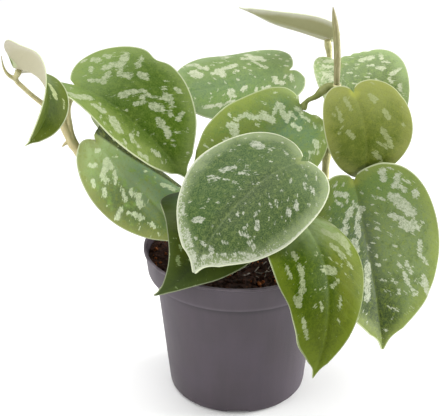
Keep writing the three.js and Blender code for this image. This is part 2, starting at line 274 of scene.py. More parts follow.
def extrude_rings(name, profile, sides):
    """A closed shell round the Z axis, from a flat disc at the first ring to a flat disc at the last."""
    radius, height = profile[0]
    shell = new_primitive("circle", name, vertices=sides, radius=radius * MM, fill_type="NGON",
                          location=(0, 0, height * MM))
    apply_place(shell)
    bpy.ops.object.mode_set(mode="EDIT")
    bpy.ops.mesh.select_all(action="SELECT")
    bpy.ops.mesh.flip_normals()
    bpy.ops.mesh.select_mode(type="EDGE")
    bpy.ops.mesh.select_all(action="SELECT")
    for (r0, z0), (r1, z1) in zip(profile, profile[1:]):
        bpy.ops.mesh.extrude_edges_move(TRANSFORM_OT_translate={"value": (0, 0, (z1 - z0) * MM)})
        bpy.ops.transform.resize(value=(r1 / r0, r1 / r0, 1), center_override=(0, 0, z1 * MM))
    close_shell()
    return shell


pot = extrude_rings("nursery_pot", POT_PROFILE, POT_SIDES)
print("pot shell:", len(pot.data.polygons), "faces")

# %% [markdown]
# Gaps between the feet and drain holes are cut out with Boolean modifiers: four gaps run in under the base,
# and eight small arches show in the outer edge. Then a small bevel rounds every sharp corner, since moulded
# plastic always has a soft edge that catches the light.

# %% Pot: cut the feet and drain holes, round the corners
GAP_WIDTH = 14
GAP_DEPTH = 16
GAP_MIDDLE = 41
ARCH_WIDTH = GAP_WIDTH + 0.4
ARCH_DEPTH = 10
ARCH_HEIGHT = 3.1
ARCH_BACK = 42.3
DRAIN_HOLES = 6
DRAIN_RADIUS = 3
DRAIN_CIRCLE = 27
BELOW = 1  # how far each box reaches under the pot, so that it cuts cleanly


def cut(piece, cutter):
    apply_modifier(piece, "BOOLEAN", object=cutter, operation="DIFFERENCE", solver="EXACT")
    bpy.data.objects.remove(cutter)


def cut_boxes(count, middle, width, depth, height):
    """Cuts boxes into the foot from below, evenly round the pot, the first one at the front."""
    for i in range(count):
        turn = i * 2 * math.pi / count
        x, y, z = middle * math.sin(turn), -middle * math.cos(turn), (height - BELOW) / 2
        box = new_primitive("cube", "box", size=1, rotation=(0, 0, turn),
                            location=(x * MM, y * MM, z * MM),
                            scale=(width * MM, depth * MM, (height + BELOW) * MM))
        cut(pot, box)


cut_boxes(4, GAP_MIDDLE, GAP_WIDTH, GAP_DEPTH, FOOT_LIFT)
cut_boxes(8, ARCH_BACK + ARCH_DEPTH / 2, ARCH_WIDTH, ARCH_DEPTH, ARCH_HEIGHT)
for i in range(DRAIN_HOLES):
    turn = (i + 0.5) * 2 * math.pi / DRAIN_HOLES
    x, y = DRAIN_CIRCLE * math.cos(turn), DRAIN_CIRCLE * math.sin(turn)
    cut(pot, new_primitive("cylinder", "drain", vertices=24, radius=DRAIN_RADIUS * MM, depth=8 * MM,
                           location=(x * MM, y * MM, 3 * MM)))
apply_modifier(pot, "BEVEL", width=0.3 * MM, segments=2, limit_method="ANGLE", angle_limit=math.radians(28))
smooth(pot, 32)
print("pot, cut and rounded:", len(pot.data.polygons), "faces")

# %% [markdown]
# The plastic is nearly even in colour. What makes it read as real is a fine spark-eroded grain, faint
# flow streaks that run up the wall, pale scuffs on the lip that also serve as a painted highlight, a painted
# highlight along the foot of the collar, and painted shade on the wall below the collar.

# %% Pot: moulded plastic finish
def pot_plastic():
    f = Finish("mauve_plastic", Specular_IOR_Level=0.4)
    place = f.place()
    height = f.node("SeparateXYZ", {"Vector": place}, "Z")
    streaks = f.streaks(5, 0.12)
    clouds = f.noise(place, 30)
    f.colour = f.mix(streaks, "#363036", "#433940")
    f.coat(f.band(clouds, 0.35, 0.7, 0, 0.25), "#574F5B")
    # painted shade: the wall darkens just below the collar, where the collar's overhang would shade it
    f.coat(f.times(f.band(height, COLLAR_FOOT - 7, COLLAR_FOOT - 0.6, 0, 0.8),
                   f.band(height, COLLAR_FOOT - 0.4, COLLAR_FOOT - 0.1, 1, 0)), "#1E1B20")
    # painted highlight: a pale line along the foot of the collar
    fold = f.times(f.band(height, COLLAR_FOOT - 0.1, COLLAR_FOOT + 0.5),
                   f.band(height, COLLAR_FOOT + 1, COLLAR_FOOT + 2.6, 1, 0))
    f.coat(f.times(fold, 0.12), "#7A727B")
    # pale scuffs on the lip, which also serve as a painted highlight along its top
    lip = f.times(f.band(height, 98, 99.6), f.band(f.noise(place, 9), 0.4, 0.65, 0.25, 1))
    f.coat(f.times(lip, 0.3), "#8B8189")
    f.coat(f.band(f.noise(place, 1.6, 4, 0.7), 0.68, 0.76, 0, 0.35), "#4A403C")
    normal = f.bump(f.noise(place, 0.45, 3, 0.6), 0.12, 0.5, f.bump(streaks, 0.25, 0.4))
    return f.finish(Roughness=f.band(clouds, 0.3, 0.7, 0.44, 0.58), Normal=normal)


dress(pot, pot_plastic())
settle(pot, "pot", "pot")

# %% [markdown]
# ## The soil
# Peat in a nursery pot is dark, fibrous and lumpy, with crumbs of orange-brown bark. A flat disc would look
# like a lid. A grid is pressed into a disc, roughened with noise, and given a rim and an underside, and
# crumbs are scattered over it.

# %% Soil: a rough disc
SOIL_LEVEL = 92
SOIL_RADIUS = 56.6
SOIL_DIVISIONS = 150
# radius and height of each ring under the surface, down to the foot of the fill
SOIL_RINGS = ((55.6, COLLAR_FOOT + 1.2), (50.5, COLLAR_FOOT - 1), (41, 4))


def soil_height(x, y):
    """Height of the soil at a place, in millimetres."""
    bumps = 0.9 * math.sin(x / 6.1 + 0.7) * math.cos(y / 5.3) + 0.7 * math.sin((x + y) / 9.7)
    lumps = 1.3 * noise.noise(Vector((x / 5, y / 5, 3.1)))
    crumbs = 0.8 * noise.noise(Vector((x / 2.1, y / 2.1, 7.7)))
    return SOIL_LEVEL + bumps + (lumps + crumbs)


def press_into_disc(points, radius):
    """Moves a square grid onto a disc, ring by ring, so that no face is crushed."""
    u, v = points[:, 0] / np.abs(points[:, 0]).max(), points[:, 1] / np.abs(points[:, 1]).max()
    x = u * np.sqrt(1 - v * v / 2)
    y = v * np.sqrt(1 - u * u / 2)
    return np.stack([x * radius, y * radius, np.zeros(len(x))], 1)


soil = new_primitive("grid", "peat", x_subdivisions=SOIL_DIVISIONS,
                     y_subdivisions=SOIL_DIVISIONS, size=1)
points = press_into_disc(get_points(soil), SOIL_RADIUS)
points[:, 2] = [soil_height(x, y) for x, y, _ in points]
set_points(soil, points)
work_on(soil)
bpy.ops.object.mode_set(mode="EDIT")
bpy.ops.mesh.select_mode(type="EDGE")
bpy.ops.mesh.select_all(action="DESELECT")
bpy.ops.mesh.select_non_manifold()
for radius, height in SOIL_RINGS:
    bpy.ops.mesh.extrude_edges_move(TRANSFORM_OT_translate={"value": (0, 0, 0)})
    bpy.ops.object.mode_set(mode="OBJECT")
    moved = get_points(soil)
    chosen = np.zeros(len(soil.data.vertices), dtype=bool)
    soil.data.vertices.foreach_get("select", chosen)
    reach = np.hypot(moved[chosen, 0], moved[chosen, 1])
    moved[chosen, 0] *= radius / reach
    moved[chosen, 1] *= radius / reach
    moved[chosen, 2] = height
    set_points(soil, moved)
    bpy.ops.object.mode_set(mode="EDIT")
close_shell()
smooth(soil, 60)
print("soil:", len(soil.data.polygons), "faces")

# %% Soil: scatter the crumbs
CRUMB_REACH = 54


def scatter_crumbs(name, count, smallest, largest, seed):
    """Lumpy crumbs that lie a third deep in the soil, clear of the pot wall."""
    draw = random.Random(seed)
    crumbs = []
    for i in range(count):
        reach, turn = CRUMB_REACH * math.sqrt(draw.random()), draw.uniform(0, 2 * math.pi)
        x, y = reach * math.cos(turn), reach * math.sin(turn)
        size = draw.uniform(smallest, largest)
        crumb = new_primitive("ico_sphere", name, subdivisions=2, radius=1)
        turned = Euler([draw.uniform(0, 6.3) for _ in range(3)]).to_matrix()
        stretch = Vector([size * draw.uniform(*span) for span in ((0.8, 1.7), (0.7, 1.1), (0.5, 0.9))])
        middle = Vector((x, y, soil_height(x, y) + 0.25 * size))
        for vertex in crumb.data.vertices:
            rough = 1 + 0.45 * noise.noise(vertex.co * 1.7 + Vector((i, 0, 0)))
            vertex.co = (turned @ (vertex.co * rough * stretch) + middle) * MM
        crumbs.append(crumb)
    whole = join(crumbs, name)
    smooth(whole, 40)
    print(name + ":", count, "crumbs of", smallest, "to", largest, "mm")
    return whole


dark_crumbs = scatter_crumbs("peat_crumbs", 230, 0.6, 2.0, seed=11)
bark_crumbs = scatter_crumbs("bark_crumbs", 150, 0.5, 1.5, seed=12)

# %% [markdown]
# Peat is almost black when moist, with brown fibres. Bark crumbs are orange-brown. Both are very rough, so
# the light only grazes them, and most of the look comes from their bump.

# %% Soil: finishes
def earth(name, dark, light, fibre):
    f = Finish(name, Specular_IOR_Level=0.15)
    place = f.place()
    lumps = f.noise(place, 1.8, 4, 0.65)
    slanted = f.node("Mapping", {"Vector": place, "Rotation": (0.4, 0.2, 0.7), "Scale": (0.25, 1, 1)})
    fibres = f.noise(slanted, 0.5)
    f.colour = f.mix(f.band(lumps, 0.35, 0.7), dark, light)
    f.coat(f.band(fibres, 0.62, 0.72, 0, 0.6), fibre)
    normal = f.bump(lumps, 0.9, 0.8, f.bump(fibres, 0.3, 0.7))
    return f.finish(Roughness=f.band(lumps, 0.2, 0.8, 0.85, 1.0), Normal=normal)


peat_finish = earth("moist_peat", "#1A100C", "#3D251B", "#74472D")
bark_finish = earth("bark_crumb", "#4A2512", "#9A5A30", "#C08450")
dress(soil, peat_finish)
dress(dark_crumbs, peat_finish)
dress(bark_crumbs, bark_finish)
settle(soil, "soil", "soil")
settle(dark_crumbs, "soil")
settle(bark_crumbs, "soil")

# %% [markdown]
# ## The leaves
# A blade is a thin sheet that bends along its midrib, folds along it, and curls towards its margins. It could
# be sculpted, but then thirteen leaves would never share one manner of growth. Instead a flat grid is cut to
# a heart outline by moving its vertices, and then bent along a spine by the same few angles that shape the
# solids, so that each leaf lands on its own solid.

# %% Leaves: the shape of each one
def shape(base, aim, size, form, bow, fold, curl, **more):
    """Gives each number of a leaf's shape its name. Lengths are in millimetres and angles in degrees.

    base: where the midrib starts. heading, rise, roll: its direction there, and the blade's tilt about it.
    fullness: 0 is a heart, 1 is an egg. skew: a wider left half. droop, sweep, twist: how far the blade
    bends down, sideways and around. hook: more droop near the tip. fold: slope of the left and the right
    half at the midrib. curl: how much more they bend by the margin. notch: how far the sinus opens.
    """
    heading, rise, roll = aim
    length, width = size
    fullness, skew = form
    droop, hook, sweep, twist = bow
    return dict(base=base, heading=heading, rise=rise, roll=roll, length=length, width=width,
                fullness=fullness, skew=skew, droop=droop, hook=hook, sweep=sweep, twist=twist,
                fold=fold, curl=curl, **more)


LEAVES = {
    "leaf_front": shape(base=(36, -32, 171), aim=(-140, 1, -15), size=(98, 76), form=(1.4, -0.02),
        bow=(61, 5, 15, -2), fold=(-2, 5), curl=(-28, -5)),
    "leaf_lower_right": shape(base=(70, -16, 151), aim=(1, -75, 77), size=(110, 75), form=(1.4, 0.19),
        bow=(-24, 9, -17, -28), fold=(21, 10), curl=(-13, -22)),
    "leaf_over_rim": shape(base=(36, -45, 139), aim=(-60, -8, -22), size=(105, 64), form=(0.5, -0.09),
        bow=(100, -12, 1, 7), fold=(5, 1), curl=(-10, -27)),
    "leaf_upper_left": shape(base=(-100, 11, 203), aim=(-32, -8, 9), size=(93, 66), form=(1.0, 0.26),
        bow=(51, 2, -5, 34), fold=(17, 15), curl=(2, 29)),
    "leaf_lower_left": shape(base=(-86, -12, 175), aim=(16, -56, 51), size=(87, 67), form=(1.0, 0.2),
        bow=(-43, 4, -9, 41), fold=(4, 6), curl=(-94, -21)),
    "leaf_centre": shape(base=(40, 15, 185), aim=(-132, -25, -50), size=(85, 62), form=(1.9, 0.05),
        bow=(34, 5, -31, -15), fold=(12, 8), curl=(5, 2), notch=0.12),
    "leaf_upper_centre": shape(base=(32, 38, 203), aim=(-161, -9, -21), size=(83, 60), form=(1.4, -0.12),
        bow=(-10, 5, 0, -7), fold=(2, 3), curl=(-29, -27)),
    "leaf_upper_right": shape(base=(64, 41, 205), aim=(-70, -18, 9), size=(72, 55), form=(0.4, 0.29),
        bow=(87, 5, 20, 30), fold=(-2, 9), curl=(11, -15)),
    "leaf_right": shape(base=(69, -3, 203), aim=(-66, -33, 3), size=(66, 55), form=(0.9, 0.13),
        bow=(106, 4, -4, 12), fold=(4, 0), curl=(-11, -26)),
    "leaf_folded": shape(base=(-4, -28, 133), aim=(-105, -10, -36), size=(77.5, 68), form=(-0.9, -0.28),
        bow=(102, 5, -14, -12), fold=(8, -4), curl=(-9, -32)),
    "leaf_far_left": shape(base=(-130, -12.5, 222), aim=(-21, 9, -44), size=(66, 37), form=(1.3, -0.14),
        bow=(153, -12, 7, 6), fold=(7, 23), curl=(28, 4)),
    "leaf_top": shape(base=(58, 54, 219), aim=(195, 20, 39), size=(64, 26), form=(0.3, 0.05),
        bow=(-5, -1, 0, -6), fold=(14, 14), curl=(11, 7)),
}
print(len(LEAVES), "blades, the longest", max(leaf["length"] for leaf in LEAVES.values()), "mm")

# %% Leaves: the outline and the bent spine
# Each point: along and across, in shares of the length, from the sinus round the lobe to the tip.
HEART = np.array([
    (0, 0), (-0.10, 0.03), (-0.17, 0.12), (-0.17, 0.24), (-0.08, 0.36), (0.08, 0.42),
    (0.28, 0.42), (0.50, 0.34), (0.70, 0.21), (0.86, 0.09), (0.95, 0.03), (1, 0)])
EGG = np.array([
    (0, 0), (-0.06, 0.03), (-0.10, 0.11), (-0.10, 0.21), (-0.03, 0.32), (0.12, 0.40),
    (0.32, 0.43), (0.54, 0.40), (0.74, 0.29), (0.88, 0.14), (0.96, 0.04), (1, 0)])
HALF_SHARE = 0.42  # the broadest place of the heart
PLAIN_NOTCH = 0.03
SPINE_BEHIND = 0.2  # how far the spine reaches back past the sinus, in lengths
SPINE_STEPS = 48
SPINE_STEP = (1 + SPINE_BEHIND) / SPINE_STEPS
SINUS = round(SPINE_BEHIND / SPINE_STEP)  # the step that lies at the sinus
HOOK_FROM = 0.6
HOOK_GAIN = 12.5  # with this the hook has bent by its whole angle at the tip


def outline(turn, leaf):
    """The margin at turn, 0 at the sinus to 1 at the tip, as along and across in shares of the length."""
    marks = HEART * (1 - leaf["fullness"]) + EGG * leaf["fullness"]
    marks[1, 1] = leaf.get("notch", PLAIN_NOTCH)
    last = len(marks) - 1
    at = 1 + (last - 1) * np.asarray(turn)
    k = np.minimum(at.astype(int), last - 1)
    f = (at - k)[..., None]
    a, b, c, d = marks[np.maximum(k - 1, 0)], marks[k], marks[k + 1], marks[np.minimum(k + 2, last)]
    curve = 0.5 * (2 * b + (c - a) * f + (2 * a - 5 * b + 4 * c - d) * f**2 + (3 * b - a - 3 * c + d) * f**3)
    return curve[..., 0], np.maximum(curve[..., 1], 0)


def breadth(leaf, side):
    """What the outline's across is worth in millimetres, on the left (1) or the right (-1)."""
    return leaf["width"] / 2 * (1 + leaf["skew"] * side) / HALF_SHARE


def spine(leaf):
    """Places, left and up directions along the midrib, from behind the sinus to the tip."""
    heading, rise, roll = (math.radians(leaf[k]) for k in ("heading", "rise", "roll"))
    forward = np.array([math.cos(rise) * math.cos(heading), math.cos(rise) * math.sin(heading),
                        math.sin(rise)])
    side = np.array([-math.sin(heading), math.cos(heading), 0])
    left = side * math.cos(roll) + np.cross(forward, side) * math.sin(roll)
    places, lefts, ups = (np.zeros((SPINE_STEPS + 1, 3)) for _ in range(3))
    for way, stop in ((1, SPINE_STEPS), (-1, 0)):
        step = SPINE_STEP * way
        c, t, b = np.array(leaf["base"], float), forward, left
        n = np.cross(t, b)
        places[SINUS], lefts[SINUS], ups[SINUS] = c, b, n
        for i in range(SINUS, stop, way):
            q = -SPINE_BEHIND + SPINE_STEP * (i + way / 2)
            hook = leaf["hook"] * max(q - HOOK_FROM, 0) * HOOK_GAIN
            bend = math.radians(leaf["droop"] + hook) * step
            sway = math.radians(leaf["sweep"]) * step
            turn = math.radians(leaf["twist"]) * step
            t2 = t - n * bend + b * sway
            t2 /= np.linalg.norm(t2)
            b2 = np.cross(n + t * bend - b * turn, t2)
            b2 /= np.linalg.norm(b2)
            c = c + (t + t2) * step * leaf["length"] / 2
            t, b, n = t2, b2, np.cross(t2, b2)
            places[i + way], lefts[i + way], ups[i + way] = c, b, n
    return places, lefts, ups


for name, leaf in LEAVES.items():
    print(name, "tip at", spine(leaf)[0][-1].round(1))

# %% [markdown]
# Natural relief goes into the mesh: the midrib is a shallow groove above and a ridge below, the side veins
# pull the blade into a faint ripple, and the margin flutters a little. Side veins leave the midrib at a slant
# and arch towards the tip, so one number, the vein's place on the midrib, is the same all along a vein.

# %% Leaves: relief and bending
VEIN_SLANT = 0.55
VEIN_ARCH = 0.008
VEIN_SPACING = 8.5
VEIN_RIPPLE = 0.05
GROOVE_DEPTH = 0.35
GROOVE_HALF_WIDTH = 1.8
WAVE_HEIGHT = 0.9
WAVE_LENGTH = 22
FLUTTER = 0.5


def vein_place(along, across):
    """Where on the midrib the side vein through a point starts, in millimetres."""
    return along - VEIN_SLANT * np.abs(across) - VEIN_ARCH * across**2


def relief(along, across, edge, seed):
    """How far the surface stands off the smooth blade, in millimetres."""
    groove = -GROOVE_DEPTH * np.exp(-(across / GROOVE_HALF_WIDTH) ** 2)
    ripple = VEIN_RIPPLE * np.cos(2 * np.pi * vein_place(along, across) / VEIN_SPACING)
    ripple *= np.clip(np.abs(across) / 6, 0, 1) * np.clip(edge / 5, 0, 1)
    spots = zip(along / WAVE_LENGTH, across / WAVE_LENGTH)
    waves = WAVE_HEIGHT * np.array([noise.noise(Vector((a, b, seed))) for a, b in spots])
    flutter = FLUTTER * np.sin(along / 7.3 + seed) * np.exp(-edge / 3.5)
    return groove + ripple + waves * np.clip(edge / 8, 0.25, 1) + flutter


def bend_blade(leaf, along, across, lift):
    """Takes flat places, in millimetres, onto the bent blade."""
    q = np.linspace(-SPINE_BEHIND, 1, SPINE_STEPS + 1)
    at = along / leaf["length"]
    c, b, n = (np.stack([np.interp(at, q, line[:, k]) for k in range(3)], -1) for line in spine(leaf))
    is_left = across >= 0
    fold = np.radians(np.where(is_left, *leaf["fold"]))
    bend = np.radians(np.where(is_left, *leaf["curl"])) / (leaf["width"] / 2)
    angle = fold + bend * np.abs(across)
    out = (np.sin(angle) - np.sin(fold)) / bend * np.sign(across)
    rise = (np.cos(fold) - np.cos(angle)) / bend
    tilt = np.where(np.abs(across) < 1e-6, 0, angle)
    side = np.where(is_left, 1, -1)
    normal = n * np.cos(tilt)[..., None] - b * (side * np.sin(tilt))[..., None]
    return c + b * out[..., None] + n * rise[..., None] + normal * lift[..., None]


# %% [markdown]
# Silver marks are the plant's signature. Under the skin there, air pockets scatter the light. The large ones
# are laid out for each leaf, as strokes on the flattened blade, and small ones are scattered between
# them along the side veins. The mesh carries how deep each vertex lies inside the nearest mark, and the
# finish breaks up the edge with noise, as the net of small veins does on a real leaf.

# %% Leaves: where the silver marks lie
# Each stroke: from (along, across) to (along, across), and its width, all in millimetres. Along starts at
# the sinus, and across is positive to the left.
SILVER = {
    "leaf_front": [
        (3, -12, 4, -7, 1.5), (9, 20, 10, 24, 2.5), (10, 15, 13, 19, 2), (14, -25, 13, -22, 6),
        (25, 23, 28, 26, 3), (31, -14, 30, -11.5, 1.2), (33, 24, 35, 26, 3.5), (35, -14, 32.5, -10, 1.8),
        (30, -7.5, 28.5, -5.5, 1.4), (34, 15, 36, 18, 1.5), (35, -3, 33, -1, 1.5), (40, -23, 35, -19, 3.5),
        (47, 12, 51, 13, 1.5), (48, -26, 46, -20, 2.5), (53, 16, 56, 19, 3), (57, -36, 63, -32, 1.8),
        (68, -27, 73, -23, 2), (58, 13, 61, 13, 1.5), (64, 13, 63, 18, 2.5), (66, 20, 67, 24, 2.5),
        (72, -15, 70, -11, 3.5), (73, 25, 72, 27, 4), (74, 8, 74, 10, 2), (74, 17, 74, 22, 1.5),
        (80, -15, 85, -9, 3), (88, -6, 92, -2, 3), (81, -3, 81, -1, 2.5), (81, 3, 83, 5, 3),
        (88, 1, 85, 6, 2.2), (82, 9, 80, 13, 2)],
    "leaf_lower_right": [
        (-3, 18, 2, 18, 5), (2, 27, 8, 24, 4.5), (3, -13, 7, -7, 4), (6, 29, 9, 32, 2), (8, 22, 9, 23, 3),
        (10, -14, 12, -11, 2.5), (10, 26, 14, 29, 3), (12, 9, 16, 15, 2), (13, -4, 16, -2, 2.5),
        (15, 20, 18, 24, 5), (16, 35, 19, 35, 4.5), (17, 22, 23, 27, 6.5), (19, -9, 17, -6, 4.5),
        (19, 1, 24, -3, 4.5), (22, 25, 29, 31, 6.5), (23, -12, 20, -8, 3.5), (26, -12, 31, -14, 4),
        (27, 18, 31, 23, 4), (28, -17, 28, -15, 3), (28, -5, 35, -5, 4), (34, 24, 38, 28, 6),
        (35, 31, 40, 33, 3), (38, -9, 43, -9, 5.5), (43, 1, 46, 0, 2), (48, 33, 57, 32, 3),
        (56, -3, 76, -8, 5), (58, 17, 62, 19, 2), (59, 22, 67, 25, 2), (59, 34, 63, 36, 2.5),
        (66, 20, 74, 22, 3), (70, 32, 72, 34, 2), (74, 33, 81, 35, 4.5), (75, 15, 77, 15, 2.5),
        (77, 24, 80, 27, 2.5)],
    "leaf_over_rim": [
        (1, 19, 3, 27, 4.5), (12, 11, 16, 17, 6.5), (15, 22, 20, 22, 9), (23, 11, 25, 13, 4.5),
        (25, 21, 28, 22, 4), (28, 14, 30, 15, 5), (29, -20, 32, -19, 4), (35, 18, 37, 20, 3),
        (37, -26, 44, -25, 2.5), (37, -4, 40, -3, 2), (38, -18, 52, -18, 3.5), (39, 0, 40, 5, 5.5),
        (49, 2, 46, 7, 2.5), (51, -19, 59, -21, 3), (55, 8, 62, 7, 2), (57, -22, 61, -20, 4),
        (59, -6, 63, -5, 2), (69, -17, 79, -13, 3)],
    "leaf_upper_left": [
        (-2, 23, 1, 23, 4.5), (1, 16, 3, 13, 2.5), (3, 28, 6, 28, 3.5), (7, -17, 9, -16, 4),
        (7, 7, 11, 9, 3), (9, 19, 13, 24, 4.5), (12, -18, 16, -8, 6.5), (14, 10, 14, 17, 4),
        (14, 35, 11, 34, 2), (16, 24, 15, 32, 5), (19, 21, 18, 24, 2.5), (20, 20, 25, 22, 4.5),
        (24, -12, 29, -11, 5), (24, 36, 25, 30, 3), (29, 9, 33, 14, 4.5), (30, 26, 33, 27, 4.5),
        (33, 15, 38, 19, 3), (37, -11, 44, -14, 6.5), (39, 9, 42, 14, 3), (39, 15, 41, 19, 2.5),
        (43, 19, 50, 23, 2), (48, 15, 52, 17, 5.5), (49, -23, 54, -22, 3), (49, 25, 52, 25, 4.5),
        (51, -17, 54, -19, 2), (51, -9, 54, -13, 3), (51, 32, 53, 32, 3), (54, 24, 56, 23, 2.5),
        (55, -12, 59, -12, 2.5), (56, 11, 66, 9, 4), (57, 19, 59, 18, 3), (62, -16, 67, -14, 3.5),
        (63, 20, 63, 23, 3.5), (66, -6, 70, -5, 3)],
    "leaf_lower_left": [
        (3, -5, 5, -2, 2.5), (6, -14, 9, -11, 3), (13, -3, 17, -4, 5), (14, -19, 17, -20, 3),
        (18, -13, 13, -4, 4.5), (22, -13, 22, -11.5, 3), (22, -4, 26, -9, 3), (24, -17, 27, -19, 3),
        (33, -9, 39, -11, 3), (37, -4, 39, -6, 3), (41, -18, 43, -22, 4), (43, -4, 48, -7, 4.5),
        (46, -15, 50, -13, 2.5), (49, -13, 54, -12, 4), (49, 13, 55, 17, 3.5), (60, -10, 64, -9, 2.5)],
    "leaf_centre": [
        (3, -4, 1, 0, 3.5), (4, 1, 3, 7, 2), (9, -5, 7, 0, 2.5), (10, 19, 11, 22, 3.5), (12, 2, 11, 6, 3),
        (13, -14, 11, -11, 4.5), (13, -9, 13, -3, 4.5), (17, 21, 14, 25, 2), (18, -12, 13, -14, 3.5),
        (26, -15, 22, -9, 5), (36, -20, 28, -14, 3.5), (45, -22, 35, -21, 3), (50, -16, 47, -11, 4.5),
        (51, -21, 46, -18, 4), (56, -13, 50, -9, 3)],
    "leaf_upper_centre": [
        (1, 5, 2, 9, 2.5), (11, 3, 12, 7, 3.5), (12, 7, 8, 9, 3.5), (14, -22, 11, -16, 4.5),
        (18, -27, 11, -19, 4), (18, -17, 13, -7, 2.5), (21, 9, 17, 9, 2.5), (22, -23, 14, -18, 4),
        (33, -32, 30, -29, 3), (34, 7, 32, 5, 3.5), (38, -15, 30, -16, 4), (41, 5, 42, 9, 5),
        (42, -14, 41, -10, 5.5), (42, 13, 52, 15, 2), (47, -13, 40, -10, 3), (52, -21, 49, -18, 4),
        (53, -26, 58, -26, 3), (56, -26, 53, -25, 4), (58, -16, 56, -13, 7), (62, 14, 51, 14, 2.5)],
    "leaf_upper_right": [
        (-5, -8, -5, -1, 3), (-1, -11, 2, -4, 3), (1, 15, 2, 21, 4.5), (2, 27, 7, 26, 2.5),
        (5, -12, 10, -9, 4), (8, 16, 10, 19, 2), (10, 26, 13, 28, 2.5), (13, 21, 15, 23, 4),
        (22, 29, 22, 32, 2), (23, 25, 22, 28, 3.5), (25, 23, 28, 23, 2), (31, 27, 36, 25, 2.5)],
    "leaf_right": [
        (2, -7, 10, -6, 2.5), (4, 9, 7, 11, 4), (7, -14, 16, -13, 2.5), (10, -17, 11, -16, 2),
        (16, 15, 19, 16, 4), (23, -11, 27, -8, 2.5), (25, 25, 25, 25, 2.5), (26, 11, 34, 15, 3.5),
        (33, 8, 37, 16, 2.5), (39, 5, 43, 8, 3), (46, 9, 49, 12, 2.5)],
    "leaf_folded": [(40, -15, 42, -12, 1.5), (46, -11, 49, -8, 2.5), (48, -18, 52, -14, 1.5)],
    "leaf_far_left": [(23, 5, 31, 6, 3.4), (31, 12, 35, 13, 1.4)],
    "leaf_top": [(20, -5, 34, -6, 2)],
}
print("silver strokes laid by hand:", sum(len(strokes) for strokes in SILVER.values()))

# %% Leaves: measure and scatter the silver marks
FAR_OUTSIDE = -6.0
MARGIN_GAP = 1.8
MIDRIB_GAP = 2.5
PAST_LOBE = 20  # of 80 points on the margin, the first from which it only runs towards the tip


def silver_depth(marks, along, across):
    """How far inside the nearest stroke a place lies, in millimetres. Outside it is negative."""
    depth = np.full(along.shape, FAR_OUTSIDE)
    for a0, b0, a1, b1, wide in marks:
        da, db = a1 - a0, b1 - b0
        share = np.clip(((along - a0) * da + (across - b0) * db) / max(da * da + db * db, 1e-6), 0, 1)
        gap = np.hypot(along - a0 - share * da, across - b0 - share * db)
        depth = np.maximum(depth, wide / 2 - gap)
    return depth


def scatter_marks(leaf, laid, count, longest, widest, seed):
    """Small strokes along the side veins, inside the outline and clear of the midrib and of other marks."""
    draw = random.Random(seed)
    rim_along, rim_across = (line[PAST_LOBE:] for line in outline(np.linspace(0, 1, 80), leaf))
    marks = list(laid)
    for _ in range(count * 30):
        if len(marks) == count + len(laid):
            break
        a = draw.uniform(-0.1, 0.97) * leaf["length"]
        b = draw.uniform(-0.5, 0.5) * leaf["width"]
        side = 1 if b >= 0 else -1
        reach = np.interp(a / leaf["length"], rim_along, rim_across) * breadth(leaf, side)
        if abs(b) > reach - MARGIN_GAP or abs(b) < MIDRIB_GAP:
            continue
        long, wide = longest * draw.uniform(0.2, 1.0), widest * draw.uniform(0.4, 1.0)
        slope = VEIN_SLANT + 2 * VEIN_ARCH * abs(b)
        da, db = long / 2 * slope / math.hypot(1, slope), side * long / 2 / math.hypot(1, slope)
        if silver_depth(marks, np.array([a]), np.array([b]))[0] < -0.7 * long - 0.5:
            marks.append((a - da, b - db, a + da, b + db, wide))
    return marks


# %% [markdown]
# A blade starts as a grid whose long middle line is the midrib and whose two sides are the margin. It is
# shaped flat first, so that each vertex also gets its depth in the silver, its distance from the margin and
# its place on the flattened leaf, and then it is bent. Solidify gives the thickness, thinner at the margin.

# %% Leaves: build one blade
BLADE_ROWS = 96
BLADE_STRIPS = 30
BLADE_THICKNESS = 0.8
THIN_MARGIN = 0.5  # share of the thickness at the very edge
FULL_FROM = 4  # the thickness is full this far in from it, in millimetres
ROW_CROWDING = 1.25  # above 1, the rows lie closer together near the sinus
SHEET = 160  # side of the square sheet that the flattened leaf lies on, in millimetres
SHEET_START = 30  # where the sinus lies on it
# How the margin departs from the plain outline, as dents, nibbles and drawn-out points: along, across, how
# wide, and how far it is pulled along and across, in millimetres.
NIBBLES = {
    "leaf_upper_left": [(31, 42, 5.5, 0, -3)],
    "leaf_upper_right": [(-10, 10, 2.6, 2.6, 0), (-10, 16.5, 2.2, 2.4, 0), (-9, 22.5, 2.2, 2, 0)],
    "leaf_centre": [(-1, -3, 1.8, 1.3, 0), (0, 3, 1.8, 1.5, 0), (0.5, 9, 2, 1.6, 0), (1.5, 15, 1.8, 1.3, 0)],
    "leaf_lower_right": [(78, 34, 3, 0, -1.2)],
    "leaf_right": [(8, 27, 3, 0, -1)],
    "leaf_front": [(62, -37, 14, 0, 2), (78, -28, 10, -1, 1.2)],
    "leaf_top": [(-9, 7, 9, 8, 0), (-8, -4, 6, 4, 0)],
    "leaf_far_left": [(-5, -8, 6, 3.5, 0), (-5, -3, 6, 4, 0), (1, -17, 4.5, 0, -4.5), (12, -21, 7, 0, 2)],
    "leaf_lower_left": [(-7, 11, 9, 13, 0)],
    "leaf_over_rim": [(61, -28, 9, 0, 1.9), (85, -14, 8, 0, -2.7)],
}
# how far the very tip is drawn out past the plain outline, in millimetres
DRAWN_TIPS = {"leaf_front": 2.2, "leaf_lower_right": 1.5, "leaf_folded": 3}
TIP_SHARE = 0.9  # where along the leaf its tip starts


def margin_distance(leaf, along, across, side):
    """How far in from the margin of its own half each flat place lies, in millimetres."""
    line_a, line_b = outline(np.linspace(0, 1, 240), leaf)
    edge = np.full(len(along), 99.0)
    for s in (1, -1):
        rim_a, rim_b = line_a * leaf["length"], line_b * breadth(leaf, s) * s
        gap = np.hypot(along[:, None] - rim_a, across[:, None] - rim_b)
        edge = np.where(side == s, np.minimum(edge, gap.min(1)), edge)
    return edge


